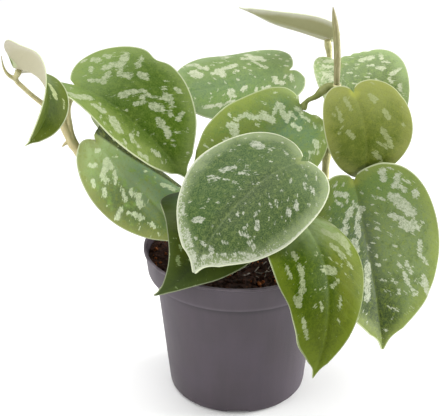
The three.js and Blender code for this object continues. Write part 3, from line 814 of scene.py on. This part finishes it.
def build_blade(name, leaf, marks, seed):
    blade = new_primitive("grid", name + "_blade", x_subdivisions=BLADE_ROWS, y_subdivisions=2 * BLADE_STRIPS,
                          size=2 * MM)
    grid = get_points(blade)
    row, strip = np.clip((grid[:, 0] + 1) / 2, 0, 1), np.clip(grid[:, 1], -1, 1)
    share, side = np.abs(strip), np.where(strip >= 0, 1, -1)
    rim_along, rim_across = outline(row, leaf)
    along = (row**ROW_CROWDING * (1 - share) + rim_along * share) * leaf["length"]
    across = rim_across * share * breadth(leaf, side) * side
    edge = np.where(share > 0.999, 0, margin_distance(leaf, along, across, side))

    drawn = np.clip((along / leaf["length"] - TIP_SHARE) / 0.1, 0, 1)
    across = across * (1 - 0.3 * np.sin(np.pi * drawn))
    along = along + DRAWN_TIPS.get(name, 0) * drawn**2
    for a, b, wide, pull_a, pull_b in NIBBLES.get(name, ()):
        pull = share**6 * np.exp(-((along - a) ** 2 + (across - b) ** 2) / wide**2)
        along, across = along + pull_a * pull, across + pull_b * pull
    set_points(blade, bend_blade(leaf, along, across, relief(along, across, edge, seed)))
    set_value(blade, "silver", silver_depth(marks, along, across))
    set_value(blade, "edge", edge)
    flat = blade.data.uv_layers[0]
    flat.name = "flat_leaf"
    corner = np.zeros(len(blade.data.loops), dtype=np.int32)
    blade.data.loops.foreach_get("vertex_index", corner)
    sheet = np.stack([(along + SHEET_START) / SHEET, 0.5 + across / SHEET], 1)[corner]
    flat.data.foreach_set("uv", sheet.ravel())

    thick = blade.vertex_groups.new(name="thick")
    for i, e in enumerate(edge):
        thick.add([i], min(1.0, THIN_MARGIN + (1 - THIN_MARGIN) * e / FULL_FROM), "REPLACE")
    work_on(blade)
    bpy.ops.object.mode_set(mode="EDIT")
    bpy.ops.mesh.select_all(action="SELECT")
    bpy.ops.mesh.remove_doubles(threshold=0.02 * MM)
    bpy.ops.object.mode_set(mode="OBJECT")
    for _ in range(3):
        blade.data.materials.append(None)
    apply_modifier(blade, "SOLIDIFY", thickness=BLADE_THICKNESS * MM, offset=0, vertex_group="thick",
                   thickness_vertex_group=THIN_MARGIN, material_offset=1, material_offset_rim=2)
    smooth(blade, 50)
    return blade


# %% [markdown]
# The upper face is satin. Each half of a blade has its own green, and the colour drifts towards the midrib,
# the foot and the margin. A few of these colours are painted light: a pale foot or tip stands for a sheen on
# three leaves, a dark tip for shade in a crease on one, and one leaf has a painted shadow strip. Over that
# come the silver marks, a pale line at the very edge, and a fine grain of cells that gives the sheen. The
# underside is paler and duller, and the cut edge is paler still.

# %% Leaves: how each one looks
# tones: the greens of the left half, the right half, the midrib, the base and the margin, and the silver. On
# two leaves the pale base green is a painted sheen.
# dull: how much of the margin's green the right half shows. deep, speck: strength of dark patches and pale
# specks. tip: a colour towards the tip near the midrib, full at nine tenths of reach; on one leaf it is
# painted shade in a crease, on another a painted sheen. heel: a pale spot at the sinus.
# shaded: painted shadow on the left half, dark from this far across, and how much further for each millimetre
# along.
# scattered: number, longest and widest of the small marks. veil: what is left of a mark where it is thin.
# rim_silver: width of a silver margin. frost: a silver film on the right half. line: the pale line at the
# very edge. gloss: how strongly the upper face mirrors light.
PLAIN_LOOK = dict(gloss=0.12, deep=0.55, speck=0.35, dull=1, heel=0.2, veil=0.6, line=0.6)
LOOKS = {
    "leaf_front": dict(tones="#354927 #2F4920 #2D3E21 #536447 #8F9B77 #ACB09E",
        veil=0.3, scattered=(70, 3, 1.4), rim_silver=1.7, line=0.9, speck=0.3, deep=0.4),
    # the dark tip colour is painted shade in the crease along the midrib
    "leaf_lower_right": dict(tones="#6E7F53 #495B43 #4D5848 #627E3B #7F8C47 #B2B8A0",
        veil=0.45, speck=0.45, scattered=(80, 3.5, 1.7), heel=0.6, tip="#2C3B1A", reach=98),
    # the pale base green is a painted sheen
    "leaf_over_rim": dict(tones="#4F5900 #304400 #283D00 #92A477 #5E6C1F #8A926F",
        veil=0.45, scattered=(16, 5, 1.6), tip="#444F14", reach=92, line=0.25, gloss=0.04),
    "leaf_upper_left": dict(tones="#3F5811 #6F7F42 #344E04 #72874D #76874D #A0A888",
        veil=0.4, speck=0.4, scattered=(36, 3.5, 1.6), dull=0, deep=0.4, gloss=0.08),
    # shaded paints a shadow strip, and the grey-green tip colour is a painted sheen
    "leaf_lower_left": dict(tones="#819F7F #677B4E #94AB83 #B8D18B #9AA05F #DCE7C0",
        speck=0.5, scattered=(20, 4, 1.6), shaded=(3.6, 0.3), deep=0.8, tip="#5E7A45", reach=84),
    "leaf_centre": dict(tones="#798E62 #738543 #607D5F #658260 #8B9A4D #BFC9A7",
        scattered=(24, 4, 1.8), line=0.4),
    "leaf_upper_centre": dict(tones="#6B834B #708453 #617853 #6D8053 #879A6F #BABFA3",
        scattered=(64, 4, 1.5)),
    "leaf_upper_right": dict(tones="#647445 #667553 #5C6E48 #798B64 #A0B47F #C2C8A8",
        scattered=(56, 3.5, 1.6), frost=0.6),
    "leaf_right": dict(tones="#556127 #505E1F #404F09 #7E854B #858A4C #8A9264",
        scattered=(10, 2.5, 1.3), heel=0.6, line=0.45, tip="#404E07", reach=66, gloss=0.08),
    "leaf_folded": dict(tones="#2F3903 #363E03 #192610 #4A613D #384713 #738254",
        scattered=(6, 3, 1.4), line=0.3),
    # the pale base green is a painted sheen
    "leaf_far_left": dict(tones="#36440A #3A4A0C #33430F #9AAC83 #566220 #A3AB7C",
        deep=0, scattered=(4, 4, 1.5), gloss=0.05),
    "leaf_top": dict(tones="#88925C #88925C #717C44 #8E9761 #ADAC7F #B3B790",
        scattered=(4, 4, 1.5)),
}
print("small marks to scatter:", sum(look["scattered"][0] for look in LOOKS.values()))


# %% Leaves: satin finish of the upper face
NOISE_STEP = 31  # so far apart the leaves lie in the noise, and no two are marked alike


def flattened(f):
    """Where the point is on the flattened leaf: the place, how far along it, and how far to the left."""
    place = f.node("VectorMath", {0: f.node("UVMap", {}, uv_map="flat_leaf"), 1: (SHEET, SHEET, 0)},
                   operation="MULTIPLY")
    along = f.minus(f.node("SeparateXYZ", {0: place}, "X"), SHEET_START)
    return place, along, f.minus(f.node("SeparateXYZ", {0: place}, "Y"), SHEET / 2)


def vein_start(f, along, across):
    """Where on the midrib the side vein through the point starts, in millimetres."""
    arch = f.times(f.times(across, across), VEIN_ARCH)
    slant = f.times(f.math("ABSOLUTE", across), VEIN_SLANT)
    return f.minus(f.minus(along, slant), arch)


def leaf_face(name, look, seed):
    left, right, middle, foot, rim, silver = look["tones"].split()
    deep = [c * k for c, k in zip(rgb(middle), (0.85, 1.0, 0.45, 1))]
    speck = [c * k for c, k in zip(rgb(rim), (0.9, 0.95, 0.5, 1))]
    f = Finish(name, Specular_IOR_Level=look["gloss"], Sheen_Weight=0.03, Sheen_Roughness=0.35,
               Sheen_Tint="#DDE6D0")
    place, along, across = flattened(f)
    place = f.node("VectorMath", {0: place, 1: (0, 0, NOISE_STEP * seed)}, operation="ADD")
    off_midrib = f.math("ABSOLUTE", across)
    edge = f.value("edge")
    clouds = f.noise(place, 14, 4, 0.6)
    patches = f.noise(place, 7, 4, 0.65)
    mottle = f.noise(place, 2.6, 5, 0.65)
    cells = f.noise(place, 0.8, 4, 0.7)
    drift = f.swing(clouds, 24)
    vein = vein_start(f, along, across)
    brushed = f.node("CombineXYZ", {0: vein, 1: f.times(across, 0.42), 2: NOISE_STEP * seed})
    fray = f.noise(brushed, 1.2, 3, 0.6)

    # the greens, from the broad drift down to the single cells
    f.colour = f.mix(f.band(f.plus(across, drift), -7, 7), right, left)
    f.coat(f.band(f.plus(off_midrib, f.times(drift, 0.5)), 1, 11, 0.75, 0), middle)
    f.coat(f.band(patches, 0.5, 0.66, 0, look["deep"]), deep)
    # the base colour; on two leaves its pale green is a painted sheen
    f.coat(f.band(f.plus(along, drift), 36, -4, 0, 0.85), foot)
    # the tip colour: on one leaf this paints shade in a crease, on another a sheen
    if "tip" in look:
        onwards = f.band(f.plus(along, drift), 0.5 * look["reach"], 0.9 * look["reach"], 0, 0.9)
        f.coat(f.times(onwards, f.band(off_midrib, 26, 6)), look["tip"])
    glow = f.band(f.plus(edge, f.times(drift, 0.5)), 11, 0, 0, 0.75)
    f.coat(f.times(glow, f.band(across, -3, 3, look["dull"], 1)), rim)
    # painted shadow: a dark strip across the left half, where a leaf above would shade it
    if "shaded" in look:
        start, slope = look["shaded"]
        side = f.minus(across, f.times(along, slope))
        f.coat(f.band(side, start, start + 2.5), "#25350F")
    heel = f.node("VectorMath", {0: f.node("CombineXYZ", {0: along, 1: across})}, 1, operation="LENGTH")
    f.coat(f.band(heel, 5, 1.5, 0, look["heel"]), "#9AA046")
    line = f.math("PINGPONG", f.plus(vein, f.times(clouds, 6)), VEIN_SPACING / 2)
    f.coat(f.band(line, 0, 1.1, 0.1, 0), middle)
    f.coat(f.band(off_midrib, 0.2, 1.2, 0.12, 0), rim)
    f.coat(f.band(mottle, 0.45, 0.7, 0, look["speck"]), speck)
    f.coat(f.band(cells, 0.4, 0.7, 0, 0.32), speck)
    f.coat(f.band(cells, 0.5, 0.2, 0, 0.5), "#1E3010")

    # the silver, with frayed edges and a blotchy inside, and the pale line at the very edge
    frayed = f.plus(f.swing(mottle, 3), f.swing(fray, 5))
    marks = f.band(f.plus(f.value("silver"), frayed), -0.25, 0.45)
    marks = f.larger(marks, f.band(f.plus(fray, f.times(patches, 0.25)), 0.8, 0.85, 0, 0.8))
    blotchy = f.plus(f.times(mottle, 0.6), f.times(cells, 0.4))
    marks = f.times(marks, f.band(blotchy, 0.38, 0.6, look["veil"], 1))
    if "rim_silver" in look:
        bright = f.plus(edge, f.swing(mottle, 2.5))
        brim = f.times(f.band(along, -10, 70, 0.4, 1), look["rim_silver"])
        marks = f.larger(marks, f.band(f.minus(bright, brim), 0.3, -0.3))
        near_rim = f.times(f.band(edge, 10, 1, 0, 0.24), f.band(along, 35, 75))
        marks = f.larger(marks, f.band(f.plus(f.noise(place, 1.2), near_rim), 0.71, 0.75, 0, 0.9))
    if "frost" in look:
        film = f.band(f.noise(place, 1.5), 0.47, 0.6, 0, look["frost"])
        marks = f.larger(marks, f.times(film, f.band(across, -1, -5)))
    marks = f.times(marks, f.band(cells, 0.28, 0.56, 0.55, 0.97))
    f.coat(marks, silver)
    f.coat(f.band(edge, 0.35, 0.9, look["line"], 0), "#C6CCAC")
    normal = f.bump(cells, 0.05, 0.5, f.bump(f.band(line, 0, 1.6), 0.06, 0.4))
    return f.finish(Roughness=f.band(marks, 0, 1, 0.42, 0.52), Normal=normal)


# %% Leaves: finishes of the underside and the cut edge
def leaf_under(name, green, vein_colour, rim, grain):
    f = Finish(name, Specular_IOR_Level=0.3, Sheen_Weight=0.1, Sheen_Tint="#E8EAD8")
    place, along, across = flattened(f)
    clouds = f.noise(place, 12)
    mottle = f.noise(place, 2.6, 4, 0.6)
    line = f.math("PINGPONG", vein_start(f, along, across), VEIN_SPACING / 2)
    f.colour = f.mix(f.band(mottle, 0.3, 0.75, 0, grain), green, vein_colour)
    f.coat(f.band(line, 0, 0.8, 0.3 * grain, 0), vein_colour)
    f.coat(f.band(f.math("ABSOLUTE", across), 0.5, 1.8, 0.6, 0), vein_colour)
    f.coat(f.band(f.plus(f.value("edge"), f.times(clouds, 4)), 7, 2, 0, 0.9), rim)
    normal = f.bump(f.noise(place, 0.6), 0.08, 0.5, f.bump(f.band(line, 0, 1.2, 1, 0), 0.2 * grain, 0.6))
    return f.finish(Roughness=f.band(mottle, 0.3, 0.7, 0.55, 0.68), Normal=normal)


def leaf_margin():
    f = Finish("leaf_margin", Specular_IOR_Level=0.4)
    tint = f.noise(f.place(), 4)
    f.colour = f.mix(tint, "#A3AE7C", "#CBD0AE")
    return f.finish(Roughness=f.band(tint, 0, 1, 0.45, 0.6))


plain_underside = leaf_under("leaf_underside", "#7C8B5F", "#99A07B", "#8F9A6C", 1.0)
young_undersides = {
    "leaf_far_left": leaf_under("cream_underside", "#A29E83", "#A6A289", "#B1AD9A", 0.5),
    "leaf_top": leaf_under("olive_underside", "#97956C", "#A9A783", "#CFCDBE", 0.2),
}
margin_finish = leaf_margin()

# %% Leaves: build and finish them all
for number, (name, leaf) in enumerate(LEAVES.items()):
    look = PLAIN_LOOK | LOOKS[name]
    marks = scatter_marks(leaf, SILVER[name], *look["scattered"], seed=number + 20)
    blade = build_blade(name, leaf, marks, seed=number + 1.5)
    face = leaf_face(name + "_satin", look, number)
    below = young_undersides.get(name, plain_underside)
    for slot, finish in enumerate((face, below, margin_finish)):
        blade.data.materials[slot] = finish
    settle(blade, "young_leaf" if name in young_undersides else "leaf", name)

# %% [markdown]
# ## Stems and petioles
# A petiole grows out of its stem: it is broad where it clasps the node, slim in the middle, and has a small
# knee below the blade. Tubes are laid along the routes as curves with a radius at each point, then the whole
# stem is remeshed into one skin, so that every joint is a smooth crotch and no tube ends inside another.

# %% Stems: smooth routes
PETIOLE_STEPS = 40


def through(points, steps):
    """A smooth line through the points, evenly eased where they are unevenly spaced."""
    pts = [np.array(p, float) for p in points]
    pts = [2 * pts[0] - pts[1]] + pts + [2 * pts[-1] - pts[-2]]
    line = []
    spans = len(pts) - 3
    for s in range(steps + 1):
        at = s / steps * spans
        k = min(int(at), spans - 1)
        f = at - k
        a, b, c, d = pts[k:k + 4]
        ab, bc, cd = (max(np.linalg.norm(q - p) ** 0.5, 1e-6) for p, q in ((a, b), (b, c), (c, d)))
        m1 = ((b - a) / ab - (c - a) / (ab + bc) + (c - b) / bc) * bc
        m2 = ((c - b) / bc - (d - b) / (bc + cd) + (d - c) / cd) * bc
        line.append(b * (2 * f**3 - 3 * f**2 + 1) + m1 * (f**3 - 2 * f**2 + f) + c * (3 * f**2 - 2 * f**3)
                    + m2 * (f**3 - f**2))
    return np.array(line)


def petiole_end(leaf, radius):
    """Where the petiole meets the blade, and the direction in which it arrives."""
    place, left, up = (line[SINUS] for line in spine(leaf))
    forward = np.cross(left, up)
    if "notch" in leaf:  # an open sinus, where the petiole meets the blade edge on
        end = place - forward * radius * 0.3
    else:
        end = place + forward * 1.2 - up * (BLADE_THICKNESS / 2 + radius * 0.75)
    arrive = forward * 0.75 + up * 0.66
    return end, arrive / np.linalg.norm(arrive)


def petiole_line(leaf, start, leave, radius, via):
    """The petiole's route: through the points on the way, or in one free curve where there are none."""
    end, arrive = petiole_end(leaf, radius)
    if via:
        return through([start, *via, end], PETIOLE_STEPS)
    start, leave = np.array(start, float), np.array(leave, float)
    span = np.linalg.norm(end - start)
    c1 = start + leave / np.linalg.norm(leave) * span * 0.4
    c2 = end - arrive * span * 0.35
    t = np.linspace(0, 1, PETIOLE_STEPS + 1)[:, None]
    return start * (1 - t) ** 3 + 3 * c1 * t * (1 - t) ** 2 + 3 * c2 * t**2 * (1 - t) + end * t**3


# %% Stems: tubes and one skin
SKIN_VOXEL = 0.42
STEM_STEPS = 120


def tube(name, line, radii):
    """A curve with a radius at each point, turned into a mesh."""
    curve = bpy.data.curves.new(name, "CURVE")
    curve.dimensions = "3D"
    curve.bevel_depth = 1.0
    curve.bevel_resolution = 5
    curve.use_fill_caps = True
    run = curve.splines.new("POLY")
    run.points.add(len(line) - 1)
    for point, place, radius in zip(run.points, line, radii):
        point.co = (*(place * MM), 1)
        point.radius = radius * MM
    piece = bpy.data.objects.new(name, curve)
    bpy.context.scene.collection.objects.link(piece)
    work_on(piece)
    bpy.ops.object.convert(target="MESH")
    return bpy.context.object


def petiole_radii(radius, count, wing):
    """Broad at the foot, slim in the middle, with a knee below the blade, and swollen for its wings."""
    t = np.linspace(0, 1, count)
    foot = 0.55 * np.exp(-(t / 0.13) ** 2)
    knee = 0.22 * np.exp(-((t - 0.93) / 0.06) ** 2)
    extra, where, spread = wing
    wings = extra * np.exp(-((t - where) / spread) ** 2)
    return radius * (0.92 + foot + knee - 0.1 * np.sin(np.pi * t)) + wings


def stem_radii(radius, line, nodes):
    """Slightly swollen where a leaf leaves the stem."""
    radii = np.full(len(line), float(radius))
    for node in nodes:
        radii += 0.55 * np.exp(-(np.linalg.norm(line - np.array(node, float), axis=1) / 2.6) ** 2)
    return radii


def one_skin(name, tubes):
    whole = join(tubes, name)
    whole.data.remesh_voxel_size = SKIN_VOXEL * MM
    work_on(whole)
    bpy.ops.object.voxel_remesh()
    apply_modifier(whole, "SMOOTH", factor=0.6, iterations=6)
    bpy.ops.object.shade_smooth()
    return whole


# %% Stems: the routes
STEM_LEFT = [
    (-24, 4, 72.3), (-24, 4, 84), (-24, 4, 91), (-24, 4, 98), (-42, 4, 112), (-70, 3.5, 134),
    (-93, 3, 156), (-100, 2, 165), (-104, 2, 173), (-107, 2, 181), (-109, 2, 189)]
STEM_RIGHT = [
    (24, 8, 72.3), (24, 8, 84), (24, 8, 91), (24, 8, 98), (33, 9, 109), (46, 11, 120),
    (54.5, 14, 137), (55.5, 14, 154), (57.8, 12.5, 178), (59.2, 9.5, 192), (59.5, 8, 204.6)]
# leaf, start on the stem, direction in which it leaves or None, radius, points on the way, how green
PETIOLES_LEFT = [
    ("leaf_upper_left", (-101.5, 2, 168), None, 2.0, ((-103, 2, 180), (-103.4, 2, 192)), 0.6),
    ("leaf_lower_left", (-98, 2.2, 162), (0.3, -1, 0.5), 2.0, (), 0.5),
    ("leaf_far_left", (-108.5, 2, 186), None, 1.8,
     ((-122, -2, 199), (-127.5, -7, 207), (-131.8, -11, 214.5)), 0.5),
]
PETIOLES_RIGHT = [
    ("leaf_folded", (26.5, 8, 102), (-0.3, -0.2, 1), 1.8, (), 0.9),
    ("leaf_over_rim", (42, 10, 117), (-0.1, -1, 0.4), 1.9, (), 0.9),
    ("leaf_lower_right", (55, 14, 136), None, 2.0, ((62, 3, 141), (67, -8, 145.5)), 0.6),
    ("leaf_front", (54.5, 14, 137), None, 2.0, ((52, -4, 141), (43, -21, 153)), 0.7),
    ("leaf_right", (57, 13, 172), (0.6, -0.6, 0.6), 1.9, (), 0.4),
    ("leaf_upper_centre", (55.5, 14, 154), None, 1.9,
     ((46, 22, 163.6), (38.7, 32, 175.3), (36.8, 38, 186.5)), 0.8),
    ("leaf_upper_right", (56.5, 13, 160), None, 1.9, ((58, 32, 166), (63, 50, 186)), 0.5),
    ("leaf_top", (57.5, 13, 170), None, 2.0, ((57, 30, 175), (57.7, 48, 190), (58.7, 55, 205)), 0.2),
    ("leaf_centre", (59.4, 8.4, 201.5), None, 1.7,
     ((55.5, 9, 203), (51.3, 10.5, 199.7), (47.6, 13, 194.9), (42.2, 16, 190.5)), 1),
]
# how much the petiole's wings add to its radius, where along it, and over what share of it
WINGS = {"leaf_centre": (1.4, 0.38, 0.22), "leaf_top": (0.3, 0.9, 0.1)}
NO_WINGS = (0, 0.5, 0.2)
# the free tips of the wings, and the start of an aerial root
TONGUE_LEFT = [(-132.2, -11.5, 215), (-136, -13, 218.3), (-138, -14.5, 223.5), (-138.6, -16, 231)]
TONGUE_RIGHT = [(42.2, 16, 190.5), (39.5, 17, 188.4), (36.6, 18, 186.1)]
ROOT_NUB = [(-103.6, 2, 170), (-106.5, 0.5, 168.6), (-108.3, -0.5, 167)]


# %% Stems: build one cutting
def build_stem(name, route, radius, petioles, tongue, nubs=()):
    line = through(route, STEM_STEPS)
    tubes = [tube("stem", line, stem_radii(radius, line, [p[1] for p in petioles]))]
    lines, young = [line], [np.zeros(len(line))]
    for leaf, start, leave, thick, via, green in petioles:
        way = petiole_line(LEAVES[leaf], start, leave, thick, via)
        tubes.append(tube("petiole", way, petiole_radii(thick, len(way), WINGS.get(leaf, NO_WINGS))))
        lines.append(way)
        young.append(np.linspace(0.5, 1, len(way)) * green)
    tip = through(tongue, 12)
    tubes.append(tube("wing_tip", tip, np.linspace(1.5, 0.3, len(tip))))
    tubes += [tube("root_nub", through(nub, 8), np.linspace(1.6, 0.5, 9)) for nub in nubs]
    whole = one_skin(name, tubes)
    marks, ages = np.concatenate(lines), np.concatenate(young)
    nearest = [np.argmin(((marks - p) ** 2).sum(1)) for p in get_points(whole)]
    set_value(whole, "greenness", ages[nearest])
    return whole


# %% [markdown]
# The older stem is tan to cream with fine brown lenticels and a ring at each node, and the petioles are
# greener and smoother, more so towards the blade.

# %% Stems: finish
def stem_skin(name, tan, green, shade):
    f = Finish(name, Specular_IOR_Level=0.4)
    place = f.place()
    clouds = f.noise(place, 6, 4)
    streak = f.streaks(0.9, 0.2)
    f.colour = f.mix(f.band(f.plus(f.value("greenness"), f.swing(clouds, 0.8)), 0, 0.8), tan, green)
    f.coat(f.band(streak, 0.4, 0.75, 0, 0.5), shade)
    f.coat(f.band(f.noise(place, 1.1, 2), 0.7, 0.76, 0, 0.5), "#7A6136")
    normal = f.bump(streak, 0.2, 0.6, f.bump(f.noise(place, 0.5), 0.08, 0.5))
    return f.finish(Roughness=f.band(clouds, 0.3, 0.7, 0.45, 0.62), Normal=normal)


stem_left = build_stem("left_cutting", STEM_LEFT, 2.9, PETIOLES_LEFT, TONGUE_LEFT, [ROOT_NUB])
dress(stem_left, stem_skin("cream_stem", "#BAAF83", "#9A9C71", "#9C8C56"))
settle(stem_left, "stem", "stem_left")
stem_right = build_stem("right_cutting", STEM_RIGHT, 2.5, PETIOLES_RIGHT, TONGUE_RIGHT)
dress(stem_right, stem_skin("green_stem", "#C8C291", "#6B7338", "#7F8650"))
settle(stem_right, "stem", "stem_right")

# %% [markdown]
# Where the cuttings rooted, a few stringy grey roots run over the peat.

# %% Soil: surface roots
ROOTS = [
    [(-4, -28), (0, -19), (7, -12), (9, -3)], [(21, -6), (15, -15), (10, -22), (13, -33)],
    [(3, -31), (9, -25), (17, -24), (25, -19)], [(20, 2), (11, -6), (1, -11), (-6, -19)],
    [(27, -4), (25, -14), (19, -20), (16, -29)],
]
ROOT_STEPS = 40


def root_skin():
    f = Finish("grey_root", Specular_IOR_Level=0.2)
    wear = f.noise(f.place(), 1.5)
    f.colour = f.mix(f.band(wear, 0.35, 0.65), "#3B332E", "#8C857C")
    return f.finish(Roughness=f.band(wear, 0, 1, 0.7, 0.85))


strings = []
for number, root in enumerate(ROOTS):
    way = through([(x, y, soil_height(x, y) + 0.5) for x, y in root], ROOT_STEPS)
    way[:, 2] += 0.35 * np.sin(np.arange(len(way)) * 0.7 + number)
    strings.append(tube("root", way, np.linspace(0.5, 0.2, len(way))))
roots = join(strings, "surface_roots")
dress(roots, root_skin())
settle(roots, "soil")

# %% [markdown]
# ## The youngest leaf
# A new leaf stands up at the tip of the right stem, still rolled round itself like a cigar. A grid is wound
# into a spiral that narrows to a point, and Solidify gives the sheet its thickness.

# %% Rolled leaf: wind the sheet
ROLLED_LINE = [(59.5, 8, 205.2), (59.3, 8, 221), (58, 8, 237), (55.4, 8, 253)]
ROLLED_RADIUS = 2.3
# how full the roll is at each share of its length
ROLLED_PROFILE = [(0, 0.8), (0.1, 0.9), (0.3, 1), (0.6, 1), (0.8, 0.86), (0.92, 0.5), (1, 0.1)]
ROLLED_TURNS = 1.6
ROLLED_START = 2.4  # where the wound edge lies at the foot, in radians
ROLLED_SLANT = 0.4
ROLLED_TIGHTENING = 0.32  # how much smaller the innermost winding is
ROLLED_THICKNESS = 0.35
ROLLED_STEPS = 200

rolled = new_primitive("grid", "rolled_blade", x_subdivisions=90, y_subdivisions=72, size=2 * MM)
grid = get_points(rolled)
up, wind = (grid[:, 0] + 1) / 2, (grid[:, 1] + 1) / 2
axis = through(ROLLED_LINE, ROLLED_STEPS)
spot = up * ROLLED_STEPS
centre = np.stack([np.interp(spot, np.arange(len(axis)), axis[:, k]) for k in range(3)], 1)
girth = ROLLED_RADIUS * np.interp(up, *zip(*ROLLED_PROFILE))
angle = wind * ROLLED_TURNS * 2 * math.pi + ROLLED_START - ROLLED_SLANT * up
reach = girth * (1.0 - ROLLED_TIGHTENING * wind) - 0.15
ring = np.stack([np.cos(angle), np.sin(angle), 0.05 * np.sin(angle)], 1) * np.maximum(reach, 0.08)[:, None]
set_points(rolled, centre + ring)
apply_modifier(rolled, "SOLIDIFY", thickness=ROLLED_THICKNESS * MM, offset=0)
smooth(rolled, 50)
print("rolled leaf:", len(rolled.data.polygons), "faces")


# %% Rolled leaf: finish
def rolled_skin():
    f = Finish("rolled_leaf_skin", Specular_IOR_Level=0.4)
    streak = f.streaks(0.8, 0.15)
    f.colour = f.mix(f.band(streak, 0.3, 0.75), "#7E794E", "#958F6B")
    f.coat(f.band(f.noise(f.place(), 5), 0.4, 0.7, 0, 0.4), "#757C40")
    return f.finish(Roughness=f.band(streak, 0, 1, 0.45, 0.6), Normal=f.bump(streak, 0.2, 0.6))


dress(rolled, rolled_skin())
settle(rolled, "young_leaf", "leaf_rolled")

# %% [markdown]
# ## Floor, light and camera
# A studio plate: a pale floor, a bright even surround, and large soft lamps above and to both sides, so the
# satin leaves show a broad soft sheen and no hard shadow.

# %% Floor and light
def studio_paper():
    f = Finish("studio_paper", Specular_IOR_Level=0.1)
    paper = f.noise(f.place(), 400, 2)
    f.colour = f.mix(paper, "#F6F6F6", "#FBFBFB")
    return f.finish(Roughness=f.band(paper, 0, 1, 0.85, 0.95))


def set_up(name, data, place, target):
    """Puts a lamp or a camera at its place, turned towards the target. Both are in metres."""
    holder = bpy.data.objects.new(name, data)
    bpy.context.scene.collection.objects.link(holder)
    holder.location = place
    holder.rotation_euler = (Vector(target) - Vector(place)).to_track_quat("-Z", "Y").to_euler()
    return holder


def soft_lamp(name, place, target, size, power):
    lamp = bpy.data.lights.new(name, "AREA")
    lamp.size = size
    lamp.energy = power
    set_up(name, lamp, place, target)


floor = new_primitive("plane", "studio_floor", size=6)
dress(floor, studio_paper())

bpy.context.scene.view_settings.view_transform = "Standard"
world = bpy.data.worlds.new("studio")
bpy.context.scene.world = world
world.use_nodes = True
surround = world.node_tree.nodes["Background"].inputs
surround["Color"].default_value = (1, 1, 1, 1)
surround["Strength"].default_value = 0.6
soft_lamp("top_softbox", (-0.25, 0.05, 1.1), (0, 0, 0.15), 0.9, 10)
soft_lamp("left_softbox", (-0.85, -0.5, 0.3), (0, 0, 0.15), 0.7, 5.5)
soft_lamp("right_softbox", (0.95, 0.15, 0.3), (0, 0, 0.1), 0.7, 18)
print("lamps:", [lamp.name for lamp in bpy.data.lights])

# %% Camera
CAMERA_PLACE = (-0.0114, -0.7221, 0.4696)
CAMERA_TARGET = (-0.0114, 0, 0.1252)
LENS_LENGTH = 104.2
lens = bpy.data.cameras.new("camera")
lens.lens = LENS_LENGTH
lens.sensor_width = 36
lens.sensor_fit = "HORIZONTAL"
camera = set_up("camera", lens, CAMERA_PLACE, CAMERA_TARGET)
bpy.context.scene.camera = camera
print("camera:", round(math.dist(CAMERA_PLACE, CAMERA_TARGET), 3), "m from what it looks at")

# %% Finish
clear_selection()
